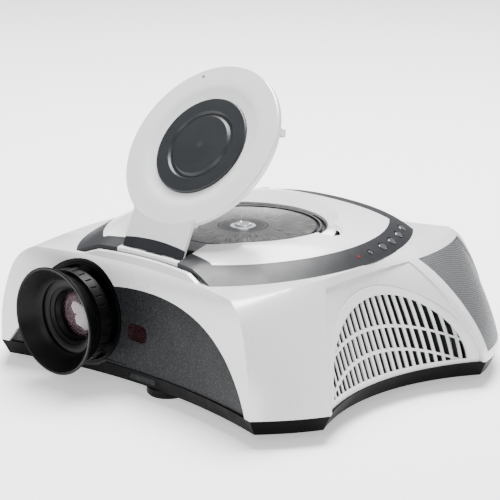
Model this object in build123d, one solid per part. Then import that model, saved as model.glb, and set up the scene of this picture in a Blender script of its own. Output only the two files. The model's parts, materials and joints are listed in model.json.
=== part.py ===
from build123d import *
import os
from math import cos, pi, radians, sin, sqrt

# Projector with a top-loading disc player. Millimetres, +Z up, the lens looks along -Y.
# Origin: middle of the footprint, on the surface that the feet stand on.

# ---------------------------------------------------------------- driving dimensions
BASE_Z = 8.0            # underside of the base tray above the table
SKIRT_Z = 20.6          # top of the black base skirt
SHOULDER_Z = 103.0      # top of the white cover, at the deck's edge
WALL = 2.5              # moulded wall
GAP = 0.3               # seam between fixed mouldings
MOVE_GAP = 0.6          # gap round pieces that move
RUN = 0.05              # radial clearance of a running fit

# plan corners of the cover, at the skirt and at the shoulder: front, front-side, rear-side, rear
FRONT_FOOT = (138.0, -146.4)
FRONT_TOP = (107.0, -133.6)
SIDE_F_FOOT = (174.0, -98.5)
SIDE_F_TOP = (124.0, -50.0)
SIDE_R_FOOT = (188.5, 74.5)
SIDE_R_TOP = (115.0, 48.0)
REAR_FOOT = (124.0, 160.0)
REAR_TOP = (101.0, 137.0)
# middles of the concave faces, at the skirt and at the shoulder
FRONT_MID_FOOT = -126.5
FRONT_MID_TOP = -117.0
SIDE_MID_FOOT = (155.5, -21.0)
SIDE_MID_TOP = (122.3, -4.0)
REAR_MID_FOOT = 138.0
REAR_MID_TOP = 118.0
FRONT_LEG_BULGE = 2.5
REAR_LEG_BULGE = 12.0
SKIRT_TUCK = 6.0        # how far the skirt draws in at its underside
BODY_LEVELS = (SKIRT_Z, 42.0, 62.0, 79.0, 92.0, SHOULDER_Z)

# domed deck: half axes of the level ellipses
DECK_Y = 2.0
DECK_A, DECK_B = 122.0, 152.0
BAND_A, BAND_B = 106.8, 126.0
BAND_Z = 113.4
DECK_FRONT = (73.0, -119.6, -111.0)   # corner x, corner y, middle y of the outer front edge
BAND_FRONT = (60.5, -103.5, -94.0)
DECK_REAR = (84.0, 111.0, 106.0)
BAND_REAR = (70.0, 92.0, 90.0)
DECK_WALL = 3.0
FACET_Y, FACET_Z = -106.5, 113.5      # a point on the flatter front of the dome
FACET_RISE = 0.25                     # its slope, up towards the disc well

# disc well, disc and lid
WELL_Y = -10.4
WELL_R = 73.0
RIM_R = 81.2
RIM_Z = 123.4
BOWL_FOOT_Z = 116.0
LEDGE_Z = 114.2
WELL_FLOOR_Z = 110.4
FLOOR_WALL = 2.4
DISC_Y = -4.0
DISC_R = 60.0
DISC_T = 1.2
DISC_BORE_R = 7.5
DISC_Z = 112.6          # underside of the disc
RECESS_R = 62.5
LID_R = 71.2
LID_TOP_Z = 119.4
LID_EDGE = 4.8
LID_WALL = 2.2
PLATE_R = 41.6
DISH_R = 53.6
ARM_HALF = 32.2
HINGE_Y = -104.0
HINGE_Z = 109.5
PIN_R = 1.5
KNUCKLE_R = 2.8
OPEN_DEG = 51.1

# lens
LENS_X, LENS_Z = -58.6, 56.6
HOOD_Y = -160.0
HOOD_R = 42.7
HOOD_DEPTH = 20.0
THROAT_R = 31.2
HOOD_WALL = 1.5
FOCUS_R = 37.7
FOCUS_LEN = 8.5
ZOOM_R = 35.5
ZOOM_LEN = 4.0
BARREL_R = 29.0
BARREL_BACK = -62.0
CUP_R = 41.0            # black cup that the lens stands in
COLLAR_R = 43.2         # panel's collar round the cup
CUP_Y = -113.0
GLASS_R = 19.0

# front arch, side arch and vents
ARCH_Z = 86.5
SIDE_ARCH_Z = 86.5
SLAT_PITCH = 6.4
SLAT_T = 2.2
RIB_T = 1.9
LIP = 7.0

# elevator foot
FOOT_X, FOOT_Y = 12.0, -104.0
FOOT_R = 17.0
FOOT_STEM_R = 9.0

# keypad
KEY_ANGLES = (7.0, 15.0, 22.6, 31.2, 40.0)
KEY_LONG = (2.4, 4.4, 4.4, 4.4, 4.4)
KEY_WIDE = (2.0, 3.4, 3.4, 3.4, 3.4)
KEY_RING = 1.0
KEY_PROUD = 0.9
KEY_T = 2.8
KEY_TRAVEL = 0.6
KEY_STEM_R = 1.2
STEM_ROOM = 0.2          # left between a pressed key's stem and its board
LED_ANGLE = 0.5
LED_R = 1.8


# ---------------------------------------------------------------- shared geometry
def share(z):
    return min(max((z - SKIRT_Z) / (SHOULDER_Z - SKIRT_Z), 0.0), 1.0)


def draw_in(z, roundness):
    """Share of the way from foot to shoulder: 1 is a straight slope, 2 a quarter ellipse."""
    t = share(z)
    return 1 - (1 - t**roundness) ** (1 / roundness)


def between(a, b, s):
    return (a[0] + (b[0] - a[0]) * s, a[1] + (b[1] - a[1]) * s)


def corner_front(z):
    return between(FRONT_FOOT, FRONT_TOP, draw_in(z, 2.0))


def corner_side_f(z):
    return between(SIDE_F_FOOT, SIDE_F_TOP, draw_in(z, 1.0))


def corner_side_r(z):
    return between(SIDE_R_FOOT, SIDE_R_TOP, draw_in(z, 1.4))


def corner_rear(z):
    return between(REAR_FOOT, REAR_TOP, draw_in(z, 1.7))


def mid_front(z):
    return (0.0, FRONT_MID_FOOT + (FRONT_MID_TOP - FRONT_MID_FOOT) * draw_in(z, 2.5))


def mid_rear(z):
    return (0.0, REAR_MID_FOOT + (REAR_MID_TOP - REAR_MID_FOOT) * draw_in(z, 2.0))


def mid_side(z):
    return between(SIDE_MID_FOOT, SIDE_MID_TOP, share(z))


def bulged(a, b, rise):
    """Middle of the outward arc from a to b; outward is to the right of a to b."""
    dx, dy = b[0] - a[0], b[1] - a[1]
    size = sqrt(dx * dx + dy * dy)
    return ((a[0] + b[0]) / 2 + rise * dy / size, (a[1] + b[1]) / 2 - rise * dx / size)


def mirrored(p):
    return (-p[0], p[1])


def at(p, z):
    return (p[0], p[1], z)


def body_face(z, inset=0.0):
    """Plan outline of the cover at height z: four concave faces between four leg ends."""
    f, s, t, u = corner_front(z), corner_side_f(z), corner_side_r(z), corner_rear(z)
    leg_f = bulged(f, s, FRONT_LEG_BULGE)
    leg_r = bulged(t, u, REAR_LEG_BULGE * (1 - 0.45 * share(z)))
    runs = (
        (mirrored(f), mid_front(z), f),
        (f, leg_f, s),
        (s, mid_side(z), t),
        (t, leg_r, u),
        (u, mid_rear(z), mirrored(u)),
        (mirrored(u), mirrored(leg_r), mirrored(t)),
        (mirrored(t), mirrored(mid_side(z)), mirrored(s)),
        (mirrored(s), mirrored(leg_f), mirrored(f)),
    )
    face = Face(Wire([ThreePointArc(at(a, z), at(m, z), at(b, z)) for a, m, b in runs]))
    if inset:
        face = offset(face, -inset, kind=Kind.INTERSECTION).faces()[0]
    return face


def outward_tool(a_of, mid_of, b_of, depth, trim, low, high):
    """Everything outside one face of the cover, set in by depth, between trimmed corners."""
    reach = 90.0
    steps = 5
    sections = []
    for i in range(steps):
        z = low + (high - low) * i / (steps - 1)
        a, m, b = a_of(z), mid_of(z), b_of(z)
        dx, dy = b[0] - a[0], b[1] - a[1]
        size = sqrt(dx * dx + dy * dy)
        along = (dx / size, dy / size)
        out = (along[1], -along[0])
        pa = (a[0] + along[0] * trim - out[0] * depth, a[1] + along[1] * trim - out[1] * depth)
        pb = (b[0] - along[0] * trim - out[0] * depth, b[1] - along[1] * trim - out[1] * depth)
        pm = (m[0] - out[0] * depth, m[1] - out[1] * depth)
        qa = (pa[0] + out[0] * reach, pa[1] + out[1] * reach)
        qb = (pb[0] + out[0] * reach, pb[1] + out[1] * reach)
        edges = [
            ThreePointArc(at(pa, z), at(pm, z), at(pb, z)),
            Line(at(pb, z), at(qb, z)),
            Line(at(qb, z), at(qa, z)),
            Line(at(qa, z), at(pa, z)),
        ]
        sections.append(Face(Wire(edges)))
    return loft(sections)


def side_tool(depth, trim, low, high):
    return outward_tool(corner_side_f, mid_side, corner_side_r, depth, trim, low, high)


def leg_mid(z):
    return bulged(corner_side_r(z), corner_rear(z), REAR_LEG_BULGE * (1 - 0.45 * share(z)))


def leg_tool(depth, trim, low, high):
    return outward_tool(corner_side_r, leg_mid, corner_rear, depth, trim, low, high)


def front_tool(depth, trim, low, high):
    return outward_tool(lambda z: mirrored(corner_front(z)), mid_front, corner_front, depth, trim, low, high)


def rear_tool(depth, trim, low, high):
    return outward_tool(corner_rear, mid_rear, lambda z: mirrored(corner_rear(z)), depth, trim, low, high)


def flip(shape):
    return mirror(shape, about=Plane.YZ)


def arch_points(left, right, low, top, lean):
    """Five points of an arch that stands on low and peaks at top; lean moves its crown sideways."""
    half, mid = (right - left) / 2, (left + right) / 2
    rise = top - low
    return [
        (left, low),
        (mid - 0.66 * half + lean * 0.3, low + 0.665 * rise),
        (mid + lean, top),
        (mid + 0.74 * half + lean * 0.3, low + 0.665 * rise),
        (right, low),
    ]


def arch_face(plane, points):
    outline = Spline(*points)
    return plane * make_face(outline + Line(points[-1], points[0]))


def rod_y(x, z, y0, y1, radius):
    return Pos(x, (y0 + y1) / 2, z) * Rot(90, 0, 0) * Cylinder(radius, abs(y1 - y0))


def rod_x(y, z, x0, x1, radius):
    return Pos((x0 + x1) / 2, y, z) * Rot(0, 90, 0) * Cylinder(radius, abs(x1 - x0))


def rod_z(x, y, z0, z1, radius):
    return Pos(x, y, (z0 + z1) / 2) * Cylinder(radius, abs(z1 - z0))


def block(x0, x1, y0, y1, z0, z1):
    return Pos((x0 + x1) / 2, (y0 + y1) / 2, (z0 + z1) / 2) * Box(x1 - x0, y1 - y0, z1 - z0)


def open_lid(shape):
    """Carries a lid piece, modelled shut, to where the photograph shows it."""
    return shape.rotate(Axis((0, HINGE_Y, HINGE_Z), (1, 0, 0)), OPEN_DEG)


# ---------------------------------------------------------------- deck dome
def ellipse_face(z, a, b, y):
    return Pos(0, y, z) * Ellipse(a, b).face()


def front_facet(drop):
    """Everything above the flatter front of the dome."""
    near, far, top = -175.0, -50.0, 170.0
    low = FACET_Z + FACET_RISE * (near - FACET_Y) - drop
    high = FACET_Z + FACET_RISE * (far - FACET_Y) - drop
    side = Polyline((near, low), (far, high), (far, top), (near, top), (near, low))
    return extrude(Plane.YZ * make_face(side), DECK_A + 20, both=True)


def deck_dome(drop=0.0):
    levels = (
        (SHOULDER_Z - 7, DECK_A + 9.5, DECK_B + 13, DECK_Y),
        (SHOULDER_Z, DECK_A, DECK_B, DECK_Y),
        (BAND_Z, BAND_A, BAND_B, DECK_Y),
        (119.6, 93.5, 103.0, DECK_Y - 5),
        (RIM_Z, RIM_R - 0.5, RIM_R + 1.5, WELL_Y),
        (RIM_Z + 2.0, 55.0, 55.0, WELL_Y),
    )
    full = loft([ellipse_face(z - drop, a, b, y) for z, a, b, y in levels])
    return full - front_facet(drop)


def deck_prism(a, b, front, rear, shrink=0.0):
    """Upright prism over an ellipse that is cut by a concave arc at the front and the rear."""
    plan = Pos(0, DECK_Y) * Ellipse(a - shrink, b - shrink).face()
    for (corner_x, corner_y, mid_y), way in ((front, -1), (rear, 1)):
        curve = ThreePointArc(
            (-corner_x * 2, mid_y + (corner_y - mid_y) * 4 - way * shrink),
            (0, mid_y - way * shrink),
            (corner_x * 2, mid_y + (corner_y - mid_y) * 4 - way * shrink),
        )
        far = mid_y + way * 150
        edge = Polyline(curve @ 1, (corner_x * 2, far), (-corner_x * 2, far), curve @ 0)
        plan -= make_face(curve + edge)
    return Pos(0, 0, SHOULDER_Z - 10) * extrude(plan, 40)


dome = deck_dome()
dome_under = deck_dome(DECK_WALL)
dome_shell = dome - dome_under
outer_prism = deck_prism(DECK_A, DECK_B, DECK_FRONT, DECK_REAR)
inner_prism = deck_prism(BAND_A, BAND_B, BAND_FRONT, BAND_REAR)
arm_clear = ARM_HALF + MOVE_GAP


def arm_space():
    """Room for the lid's arm: above a leaning plane in front of the hinge, and all above it behind."""
    lean = radians(48)
    reach = 12.0
    axis = (HINGE_Y, HINGE_Z)
    low = axis[1] - KNUCKLE_R - MOVE_GAP
    side = Polyline(
        (axis[0] - KNUCKLE_R - MOVE_GAP, low),
        (axis[0] - KNUCKLE_R - MOVE_GAP, axis[1] + 0.5),
        (axis[0] - reach * sin(lean), axis[1] + reach * cos(lean)),
        (axis[0] - reach * sin(lean), RIM_Z + 10),
        (WELL_Y - 40, RIM_Z + 10),
        (WELL_Y - 40, low),
        (axis[0] - KNUCKLE_R - MOVE_GAP, low),
    )
    return extrude(Plane.YZ * make_face(side), arm_clear, both=True)


arm_slot = arm_space()

# ---------------------------------------------------------------- cover
body = loft([body_face(z) for z in BODY_LEVELS])
cavity_levels = (SKIRT_Z - 1, 42.0, 62.0, 79.0, 92.0, SHOULDER_Z - WALL)
cavity = loft([body_face(z, WALL) for z in cavity_levels])
cavity -= side_tool(2 * WALL, 1.0, SKIRT_Z - 2, 99.5)
cavity -= flip(side_tool(2 * WALL, 1.0, SKIRT_Z - 2, 99.5))
cavity -= leg_tool(1.5 * WALL, 4.0, SKIRT_Z - 2, 96.0)
cavity -= flip(leg_tool(1.5 * WALL, 4.0, SKIRT_Z - 2, 96.0))

side_pocket = side_tool(WALL, 3.5, SKIRT_Z - 1, 97.0)
MESH_SEAT = 1.4
speaker_pocket = leg_tool(MESH_SEAT, 7.0, SKIRT_Z + 5, 97.0)

# brow: the white face between the front arch and the deck's raised front edge


def brow_face(z, corner, mid_y, back):
    curve = ThreePointArc((-corner[0], corner[1], z), (0, mid_y, z), (corner[0], corner[1], z))
    rest = Polyline(curve @ 1, (corner[0], back, z), (-corner[0], back, z), curve @ 0)
    return make_face(curve + rest)


def brow_block(low_corner, low_mid, deck_edge, back, way, set_back):
    """Leaning block behind a face that climbs from the cover's shoulder to the deck's edge."""
    shift = -way * set_back
    low = brow_face(SHOULDER_Z - 2, (low_corner[0], low_corner[1] + shift), low_mid + shift, back)
    corner_x, corner_y, mid_y = deck_edge
    high = brow_face(BAND_Z + 8, (corner_x, corner_y - way + shift), mid_y - 0.5 * way + shift, back)
    return loft([low, high])


def brow_wall(low_corner, low_mid, deck_edge, back, way):
    args = (low_corner, low_mid, deck_edge, back, way)
    wall = (brow_block(*args, 0) - brow_block(*args, WALL)) & dome_under
    ends = sorted((back, back + way * 150))
    return wall & block(-DECK_A, DECK_A, ends[0], ends[1], SHOULDER_Z - 2.4, RIM_Z)


brow = brow_wall(FRONT_TOP, FRONT_MID_TOP, DECK_FRONT, -70, -1)
rear_brow = brow_wall(REAR_TOP, REAR_MID_TOP, DECK_REAR, 70, 1)

front_arch = arch_face(Plane.XZ, arch_points(-131.5, 131.5, SKIRT_Z - 1, ARCH_Z, 0))
rear_arch = arch_face(Plane.XZ, arch_points(-112, 112, SKIRT_Z - 1, ARCH_Z - 2, 0))
front_hole = Pos(0, -100, 0) * extrude(front_arch, 80)
rear_hole = Pos(0, 190, 0) * extrude(rear_arch, 100)
side_arch = arch_points(SIDE_F_FOOT[1] + 5, SIDE_R_FOOT[1] - 2, SKIRT_Z - 1, SIDE_ARCH_Z, 17)
side_hole = Pos(110, 0, 0) * extrude(arch_face(Plane.YZ, side_arch), 90)

cover = body - cavity
cover -= side_pocket
cover -= flip(side_pocket)
cover -= speaker_pocket
cover -= flip(speaker_pocket)
cover -= front_hole
cover -= rear_hole
cover -= side_hole
cover -= flip(side_hole)
deck_opening = deck_prism(DECK_A, DECK_B, DECK_FRONT, DECK_REAR, 5.5)
cover -= deck_opening
cover += brow
cover += rear_brow
cover -= rod_y(LENS_X, LENS_Z, -170, -100, COLLAR_R + GAP)
cover -= dome_shell & outer_prism
cover -= arm_slot

SCREW_SPOTS = ((136.0, -112.0), (-136.0, -112.0), (160.0, 66.0), (-160.0, 66.0))
SCREW_R = 1.5
SCREW_POST_R = 4.5
SCREW_TOP = 34.0
for sx, sy in SCREW_SPOTS:
    cover += rod_z(sx, sy, SKIRT_Z, 95, SCREW_POST_R) & body
    cover -= rod_z(sx, sy, SKIRT_Z - 1, SCREW_TOP, SCREW_R)


def leg_plane(z):
    """Plane on the end face of the right rear leg, looking outwards."""
    here, above, below = leg_mid(z), leg_mid(z + 2), leg_mid(z - 2)
    a, b = corner_side_r(z), corner_rear(z)
    up = Vector(above[0] - below[0], above[1] - below[1], 4.0).normalized()
    along = Vector(b[0] - a[0], b[1] - a[1], 0).normalized()
    return Plane(origin=(here[0], here[1], z), x_dir=along, z_dir=along.cross(up))


SPEAKER_Z = 54.0
SPEAKER_R = 24.0
SPEAKER_SEAT = 7.6
speaker_plane = leg_plane(SPEAKER_Z)
seat_ring = extrude(speaker_plane.offset(-SPEAKER_SEAT) * Circle(SPEAKER_R + 1), SPEAKER_SEAT) - leg_tool(WALL, 5, SKIRT_Z, 99)
cover += seat_ring
cover += flip(seat_ring)
sound_hole = extrude(speaker_plane.offset(-20) * Circle(SPEAKER_R - 3), 19)
cover -= sound_hole
cover -= flip(sound_hole)
upper_cover = cover


# ---------------------------------------------------------------- base tray
skirt_top = body_face(SKIRT_Z)
skirt_low = Pos(0, 0, BASE_Z - SKIRT_Z) * offset(skirt_top, -SKIRT_TUCK, kind=Kind.INTERSECTION).faces()[0]
tray = loft([skirt_low, skirt_top], ruled=True)
floor_z = BASE_Z + WALL
hollow_low = Pos(0, 0, floor_z - SKIRT_Z) * offset(skirt_top, -SKIRT_TUCK - WALL, kind=Kind.INTERSECTION).faces()[0]
hollow_top = Pos(0, 0, 0.2) * offset(skirt_top, -WALL - 0.5, kind=Kind.INTERSECTION).faces()[0]
tray -= loft([hollow_low, hollow_top], ruled=True)
tray -= rod_y(LENS_X, LENS_Z, -170, CUP_Y + 4, COLLAR_R + GAP)

foot_sleeve_r = FOOT_STEM_R + 2.5
tray += rod_z(FOOT_X, FOOT_Y, BASE_Z, BASE_Z + 26, foot_sleeve_r)
tray -= rod_z(FOOT_X, FOOT_Y, BASE_Z - 1, BASE_Z + 27, FOOT_STEM_R + RUN)

REAR_FOOT_SPOTS = ((-118.0, 112.0), (118.0, 112.0))
REAR_FOOT_R = 9.0
BRACKET_X, BRACKET_Y = 110.0, 120.0   # ceiling bracket hole spacing
BRACKET_HOLE_R = 1.6
BRACKET_BOSS = 9.0
for bx in (-BRACKET_X / 2, BRACKET_X / 2):
    for by in (-BRACKET_Y / 2, BRACKET_Y / 2):
        tray += rod_z(bx, by, BASE_Z, BASE_Z + BRACKET_BOSS, 5.0)
        tray -= rod_z(bx, by, BASE_Z - 1, BASE_Z + BRACKET_BOSS + 1, BRACKET_HOLE_R)

LAMP_DOOR = (68.0, 122.0, 22.0, 84.0)
tray -= block(*LAMP_DOOR, BASE_Z - 1, BASE_Z + 4)
for i in range(9):
    tray -= block(-90 + i * 9, -86 + i * 9, -4, 42, BASE_Z - 1, BASE_Z + 4)

BUTTON_X, BUTTON_Z = 4.0, 14.6
BUTTON_HALF, BUTTON_HIGH = 14.0, 4.4
BUTTON_LIP = 5.6        # from the button's face to its flange, behind the tray's wall
front_y = FRONT_MID_FOOT + 2.2
tray -= block(BUTTON_X - BUTTON_HALF - 0.4, BUTTON_X + BUTTON_HALF + 0.4, front_y - 5, front_y + 7,
              BUTTON_Z - BUTTON_HIGH / 2 - 0.4, BUTTON_Z + BUTTON_HIGH / 2 + 0.4)
BOARD_POSTS = ((-8.0, -80.0), (92.0, -80.0), (-8.0, 8.0), (92.0, 8.0))
BOARD_Z = 24.0
SUPPLY_POSTS = ((-98.0, 86.0), (-26.0, 86.0), (-98.0, 120.0), (-26.0, 120.0))
SUPPLY_Z = 20.0
for px, py in BOARD_POSTS:
    tray += rod_z(px, py, BASE_Z, BOARD_Z, 3.0)
for px, py in SUPPLY_POSTS:
    tray += rod_z(px, py, BASE_Z, SUPPLY_Z, 3.0)
for sx, sy in SCREW_SPOTS:
    tray += rod_z(sx, sy, BASE_Z, SKIRT_Z, SCREW_POST_R + 1.5)
    tray -= rod_z(sx, sy, BASE_Z - 1, SKIRT_Z + 1, SCREW_R + 0.3)
    tray -= rod_z(sx, sy, BASE_Z - 1, BASE_Z + 3.5, SCREW_R + 2.2)
base_tray = tray

screws = []
for sx, sy in SCREW_SPOTS:
    screw = rod_z(sx, sy, BASE_Z + 0.8, BASE_Z + 3.5, SCREW_R + 1.9)
    screw += rod_z(sx, sy, BASE_Z + 3, SCREW_TOP - 1, SCREW_R)
    screw -= block(sx - 2.4, sx + 2.4, sy - 0.4, sy + 0.4, BASE_Z, BASE_Z + 2.2)
    screw -= block(sx - 0.4, sx + 0.4, sy - 2.4, sy + 2.4, BASE_Z, BASE_Z + 2.2)
    screws.append(screw)
base_screws = Compound(children=screws)

foot_button = block(BUTTON_X - BUTTON_HALF, BUTTON_X + BUTTON_HALF, front_y, front_y + 6.8,
                    BUTTON_Z - BUTTON_HIGH / 2, BUTTON_Z + BUTTON_HIGH / 2)
foot_button = fillet(foot_button.edges().filter_by(Axis.Z).sort_by(Axis.Y)[:2], 1.2)
foot_button += block(BUTTON_X - BUTTON_HALF - 2, BUTTON_X + BUTTON_HALF + 2, front_y + BUTTON_LIP, front_y + 6.8,
                     BUTTON_Z - BUTTON_HIGH / 2, BUTTON_Z + 3.6)

# elevator foot: stem in its sleeve, round shoe, rubber pad
foot_top = BASE_Z - GAP
stem = rod_z(FOOT_X, FOOT_Y, 2.0, BASE_Z + 24, FOOT_STEM_R)
shoe = rod_z(FOOT_X, FOOT_Y, 2.0, foot_top, FOOT_R)
shoe = fillet(shoe.edges().group_by(Axis.Z)[-1], 1.5)
elevator_foot = stem + shoe
for i in range(5):
    elevator_foot -= block(FOOT_X - 2.5, FOOT_X + 2.5, FOOT_Y - FOOT_STEM_R - 1, FOOT_Y - FOOT_STEM_R + 1.2,
                           BASE_Z + 6 + i * 3.4, BASE_Z + 7.8 + i * 3.4)
foot_pad = rod_z(FOOT_X, FOOT_Y, 0, 2.0, FOOT_R - 1.0)
foot_pad = chamfer(foot_pad.edges().group_by(Axis.Z)[0], 0.8)

rear_pads = []
for fx, fy in REAR_FOOT_SPOTS:
    pad = rod_z(fx, fy, 0, BASE_Z, REAR_FOOT_R)
    rear_pads.append(fillet(pad.edges().group_by(Axis.Z)[0], 1.5))
rear_feet = Compound(children=rear_pads)

lamp_door = block(LAMP_DOOR[0] + GAP, LAMP_DOOR[1] - GAP, LAMP_DOOR[2] + GAP, LAMP_DOOR[3] - GAP, BASE_Z, BASE_Z + WALL)
lamp_door -= rod_z((LAMP_DOOR[0] + LAMP_DOOR[1]) / 2, LAMP_DOOR[2] + 6, BASE_Z - 1, BASE_Z + 1.2, 3.6)

# ---------------------------------------------------------------- front panel and its window
PANEL_SET = 1.0
PANEL_T = 2.6
panel_arch = arch_face(Plane.XZ, arch_points(-131.5 + GAP, 131.5 - GAP, SKIRT_Z - 1, ARCH_Z - GAP, 0))
front_slab = front_tool(PANEL_SET + PANEL_T, -2, SKIRT_Z, 96) - front_tool(PANEL_SET, -4, SKIRT_Z - 1, 97)
front_panel = front_slab & (Pos(0, -100, 0) * extrude(panel_arch, 80))
collar = rod_y(LENS_X, LENS_Z, -150, CUP_Y + WALL, COLLAR_R)
collar -= rod_y(LENS_X, LENS_Z, -151, CUP_Y, CUP_R)
collar -= rod_y(LENS_X, LENS_Z, -151, CUP_Y + 9, BARREL_R + 1)
collar -= front_tool(PANEL_SET, -4, SKIRT_Z - 12, 101)
front_panel -= rod_y(LENS_X, LENS_Z, -170, -100, CUP_R)
front_panel += collar
# shallow round field about the lens, cut a little way into the panel
field_cut = rod_y(LENS_X, LENS_Z, -170, -100, 58.0) & front_tool(PANEL_SET + 0.6, -4, SKIRT_Z + 2, 95)
front_panel -= field_cut
WINDOW_Z = 51.4
WINDOW_LONG, WINDOW_HIGH = 22.0, 14.0
window_plan = RectangleRounded(WINDOW_LONG, WINDOW_HIGH, 6.0)
window_hole = Pos(0, -140, WINDOW_Z) * (Rot(90, 0, 0) * extrude(window_plan, 30, both=True))
front_panel -= window_hole
window_plan = RectangleRounded(WINDOW_LONG - 2 * GAP, WINDOW_HIGH - 2 * GAP, 5.7)
window_bar = Pos(0, -140, WINDOW_Z) * (Rot(90, 0, 0) * extrude(window_plan, 30, both=True))
window_front = front_tool(PANEL_SET + 0.7, -4, SKIRT_Z - 1, 97)
window_seat = front_tool(PANEL_SET + PANEL_T + 0.05, -2, SKIRT_Z, 96)
remote_window = (front_tool(PANEL_SET + PANEL_T + 0.5, -2, SKIRT_Z, 96) - window_front) & window_bar
flange_plan = RectangleRounded(WINDOW_LONG + 4, WINDOW_HIGH + 4, 7.5)
flange_bar = Pos(0, -140, WINDOW_Z) * (Rot(90, 0, 0) * extrude(flange_plan, 30, both=True))
remote_window += (front_tool(PANEL_SET + PANEL_T + 1.4, -2, SKIRT_Z, 96) - window_seat) & flange_bar

# black cup round the lens, its edge following the panel
cup = rod_y(LENS_X, LENS_Z, -150, CUP_Y - 0.1, CUP_R - GAP) - rod_y(LENS_X, LENS_Z, -151, CUP_Y - 2.5, CUP_R - 2.3)
cup -= rod_y(LENS_X, LENS_Z, -151, CUP_Y + 1, BARREL_R + 0.4)
cup -= front_tool(PANEL_SET - 0.6, -4, SKIRT_Z - 12, 101)
lens_cup = cup

# ---------------------------------------------------------------- lens
def turned_y(x, z, points):
    """Turned part about a line along Y from (radius, y) points."""
    return Pos(x, 0, z) * revolve(make_face(Polyline(*points, points[0])), Axis.Y)


throat_y = HOOD_Y + HOOD_DEPTH
ring_y = throat_y - 2.9
ring_back = ring_y + FOCUS_LEN
hood = turned_y(LENS_X, LENS_Z, [
    (HOOD_R, HOOD_Y), (HOOD_R + 0.6, HOOD_Y + 0.7), (HOOD_R + 0.4, HOOD_Y + 1.6), (THROAT_R + 3.4, ring_y - 1.5),
    (THROAT_R + 3.4, ring_y), (BARREL_R + 0.6, ring_y), (BARREL_R + 0.6, ring_y - 1.5), (THROAT_R, ring_y - 2.4),
    (HOOD_R - HOOD_WALL, HOOD_Y + 0.4),
])
lens_hood = hood

focus_ring = rod_y(LENS_X, LENS_Z, ring_y, ring_back, FOCUS_R) - rod_y(LENS_X, LENS_Z, ring_y - 1, ring_back + 1, BARREL_R + RUN)
GRIP_COUNT = 30
for i in range(GRIP_COUNT):
    turn = 2 * pi * i / GRIP_COUNT
    gx, gz = LENS_X + FOCUS_R * cos(turn), LENS_Z + FOCUS_R * sin(turn)
    focus_ring -= rod_y(gx, gz, ring_y + 1.6, ring_back + 1, 0.9)

zoom_y = ring_back + MOVE_GAP
zoom_ring = rod_y(LENS_X, LENS_Z, zoom_y, zoom_y + ZOOM_LEN, ZOOM_R) - rod_y(LENS_X, LENS_Z, zoom_y - 1, zoom_y + 9, BARREL_R + RUN)
zoom_ring += block(LENS_X - 2.5, LENS_X + 2.5, zoom_y, zoom_y + 2.2, LENS_Z + ZOOM_R - 1, LENS_Z + ZOOM_R + 2.2)

barrel_front = ring_y + 0.3
lens_barrel = turned_y(LENS_X, LENS_Z, [
    (BARREL_R, barrel_front), (BARREL_R, BARREL_BACK), (GLASS_R - 2, BARREL_BACK), (GLASS_R - 2, barrel_front + 14),
    (GLASS_R, barrel_front + 14), (GLASS_R, barrel_front + 8), (GLASS_R + 2.2, barrel_front + 5),
    (GLASS_R + 2.2, barrel_front + 3.6), (GLASS_R + 5, barrel_front + 2), (GLASS_R + 5, barrel_front + 1),
    (BARREL_R - 2, barrel_front),
])
flange_y = BARREL_BACK - 6
lens_barrel += rod_y(LENS_X, LENS_Z, flange_y, BARREL_BACK, BARREL_R + 5) - rod_y(LENS_X, LENS_Z, flange_y - 1, BARREL_BACK + 1, GLASS_R - 2)
glass_back = barrel_front + 14
front_glass = turned_y(LENS_X, LENS_Z, [
    (0, glass_back), (GLASS_R - RUN, glass_back), (GLASS_R - RUN, glass_back - 2.5), (GLASS_R * 0.8, glass_back - 4.3),
    (GLASS_R * 0.5, glass_back - 5.8), (0, glass_back - 6.6),
])

# ---------------------------------------------------------------- deck band and keypad
band_shell = dome_shell & (outer_prism - deck_prism(BAND_A, BAND_B, BAND_FRONT, BAND_REAR, -GAP / 2))
band_shell -= arm_slot


def dome_plane(angle, level):
    """Plane on the dome's band: level 0 at its outer edge, 1 at its inner edge."""
    def spot(turn, s):
        a = DECK_A + (BAND_A - DECK_A) * s
        b = DECK_B + (BAND_B - DECK_B) * s
        z = SHOULDER_Z + (BAND_Z - SHOULDER_Z) * s
        return Vector(a * cos(turn), DECK_Y + b * sin(turn), z)

    turn, step = radians(angle), 0.02
    along = (spot(turn + step, level) - spot(turn - step, level)).normalized()
    up = (spot(turn, level + step) - spot(turn, level - step)).normalized()
    return Plane(origin=spot(turn, level), x_dir=along, z_dir=along.cross(up))


KEY_LEVEL = 0.47
BOARD_DROP = 4.6        # top of the keypad board, plumb below the dome
dome_slope = cos(radians(41.5))
stem_reach = BOARD_DROP * dome_slope - KEY_TRAVEL - STEM_ROOM
key_planes = [dome_plane(angle, KEY_LEVEL) for angle in KEY_ANGLES]
keys = []
for plane, long, wide in zip(key_planes, KEY_LONG, KEY_WIDE):
    hole = extrude(plane.offset(-6) * Ellipse(long + GAP, wide + GAP), 12)
    ring = extrude(plane.offset(-0.2) * Ellipse(long + KEY_RING, wide + KEY_RING), 4)
    band_shell -= hole
    band_shell -= ring
    key = extrude(plane.offset(KEY_PROUD - KEY_T) * Ellipse(long, wide), KEY_T)
    key = chamfer(key.edges().sort_by(Axis(plane.origin, plane.z_dir))[-1], 0.5)
    key += extrude(plane.offset(-stem_reach) * Circle(KEY_STEM_R), stem_reach - 0.9)
    keys.append(key)
led_plane = dome_plane(LED_ANGLE, KEY_LEVEL)
band_shell -= extrude(led_plane.offset(-6) * Circle(LED_R + 0.1), 12)
power_led = extrude(led_plane.offset(-3.2) * Circle(LED_R), 3.7)
deck_band = band_shell

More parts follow.
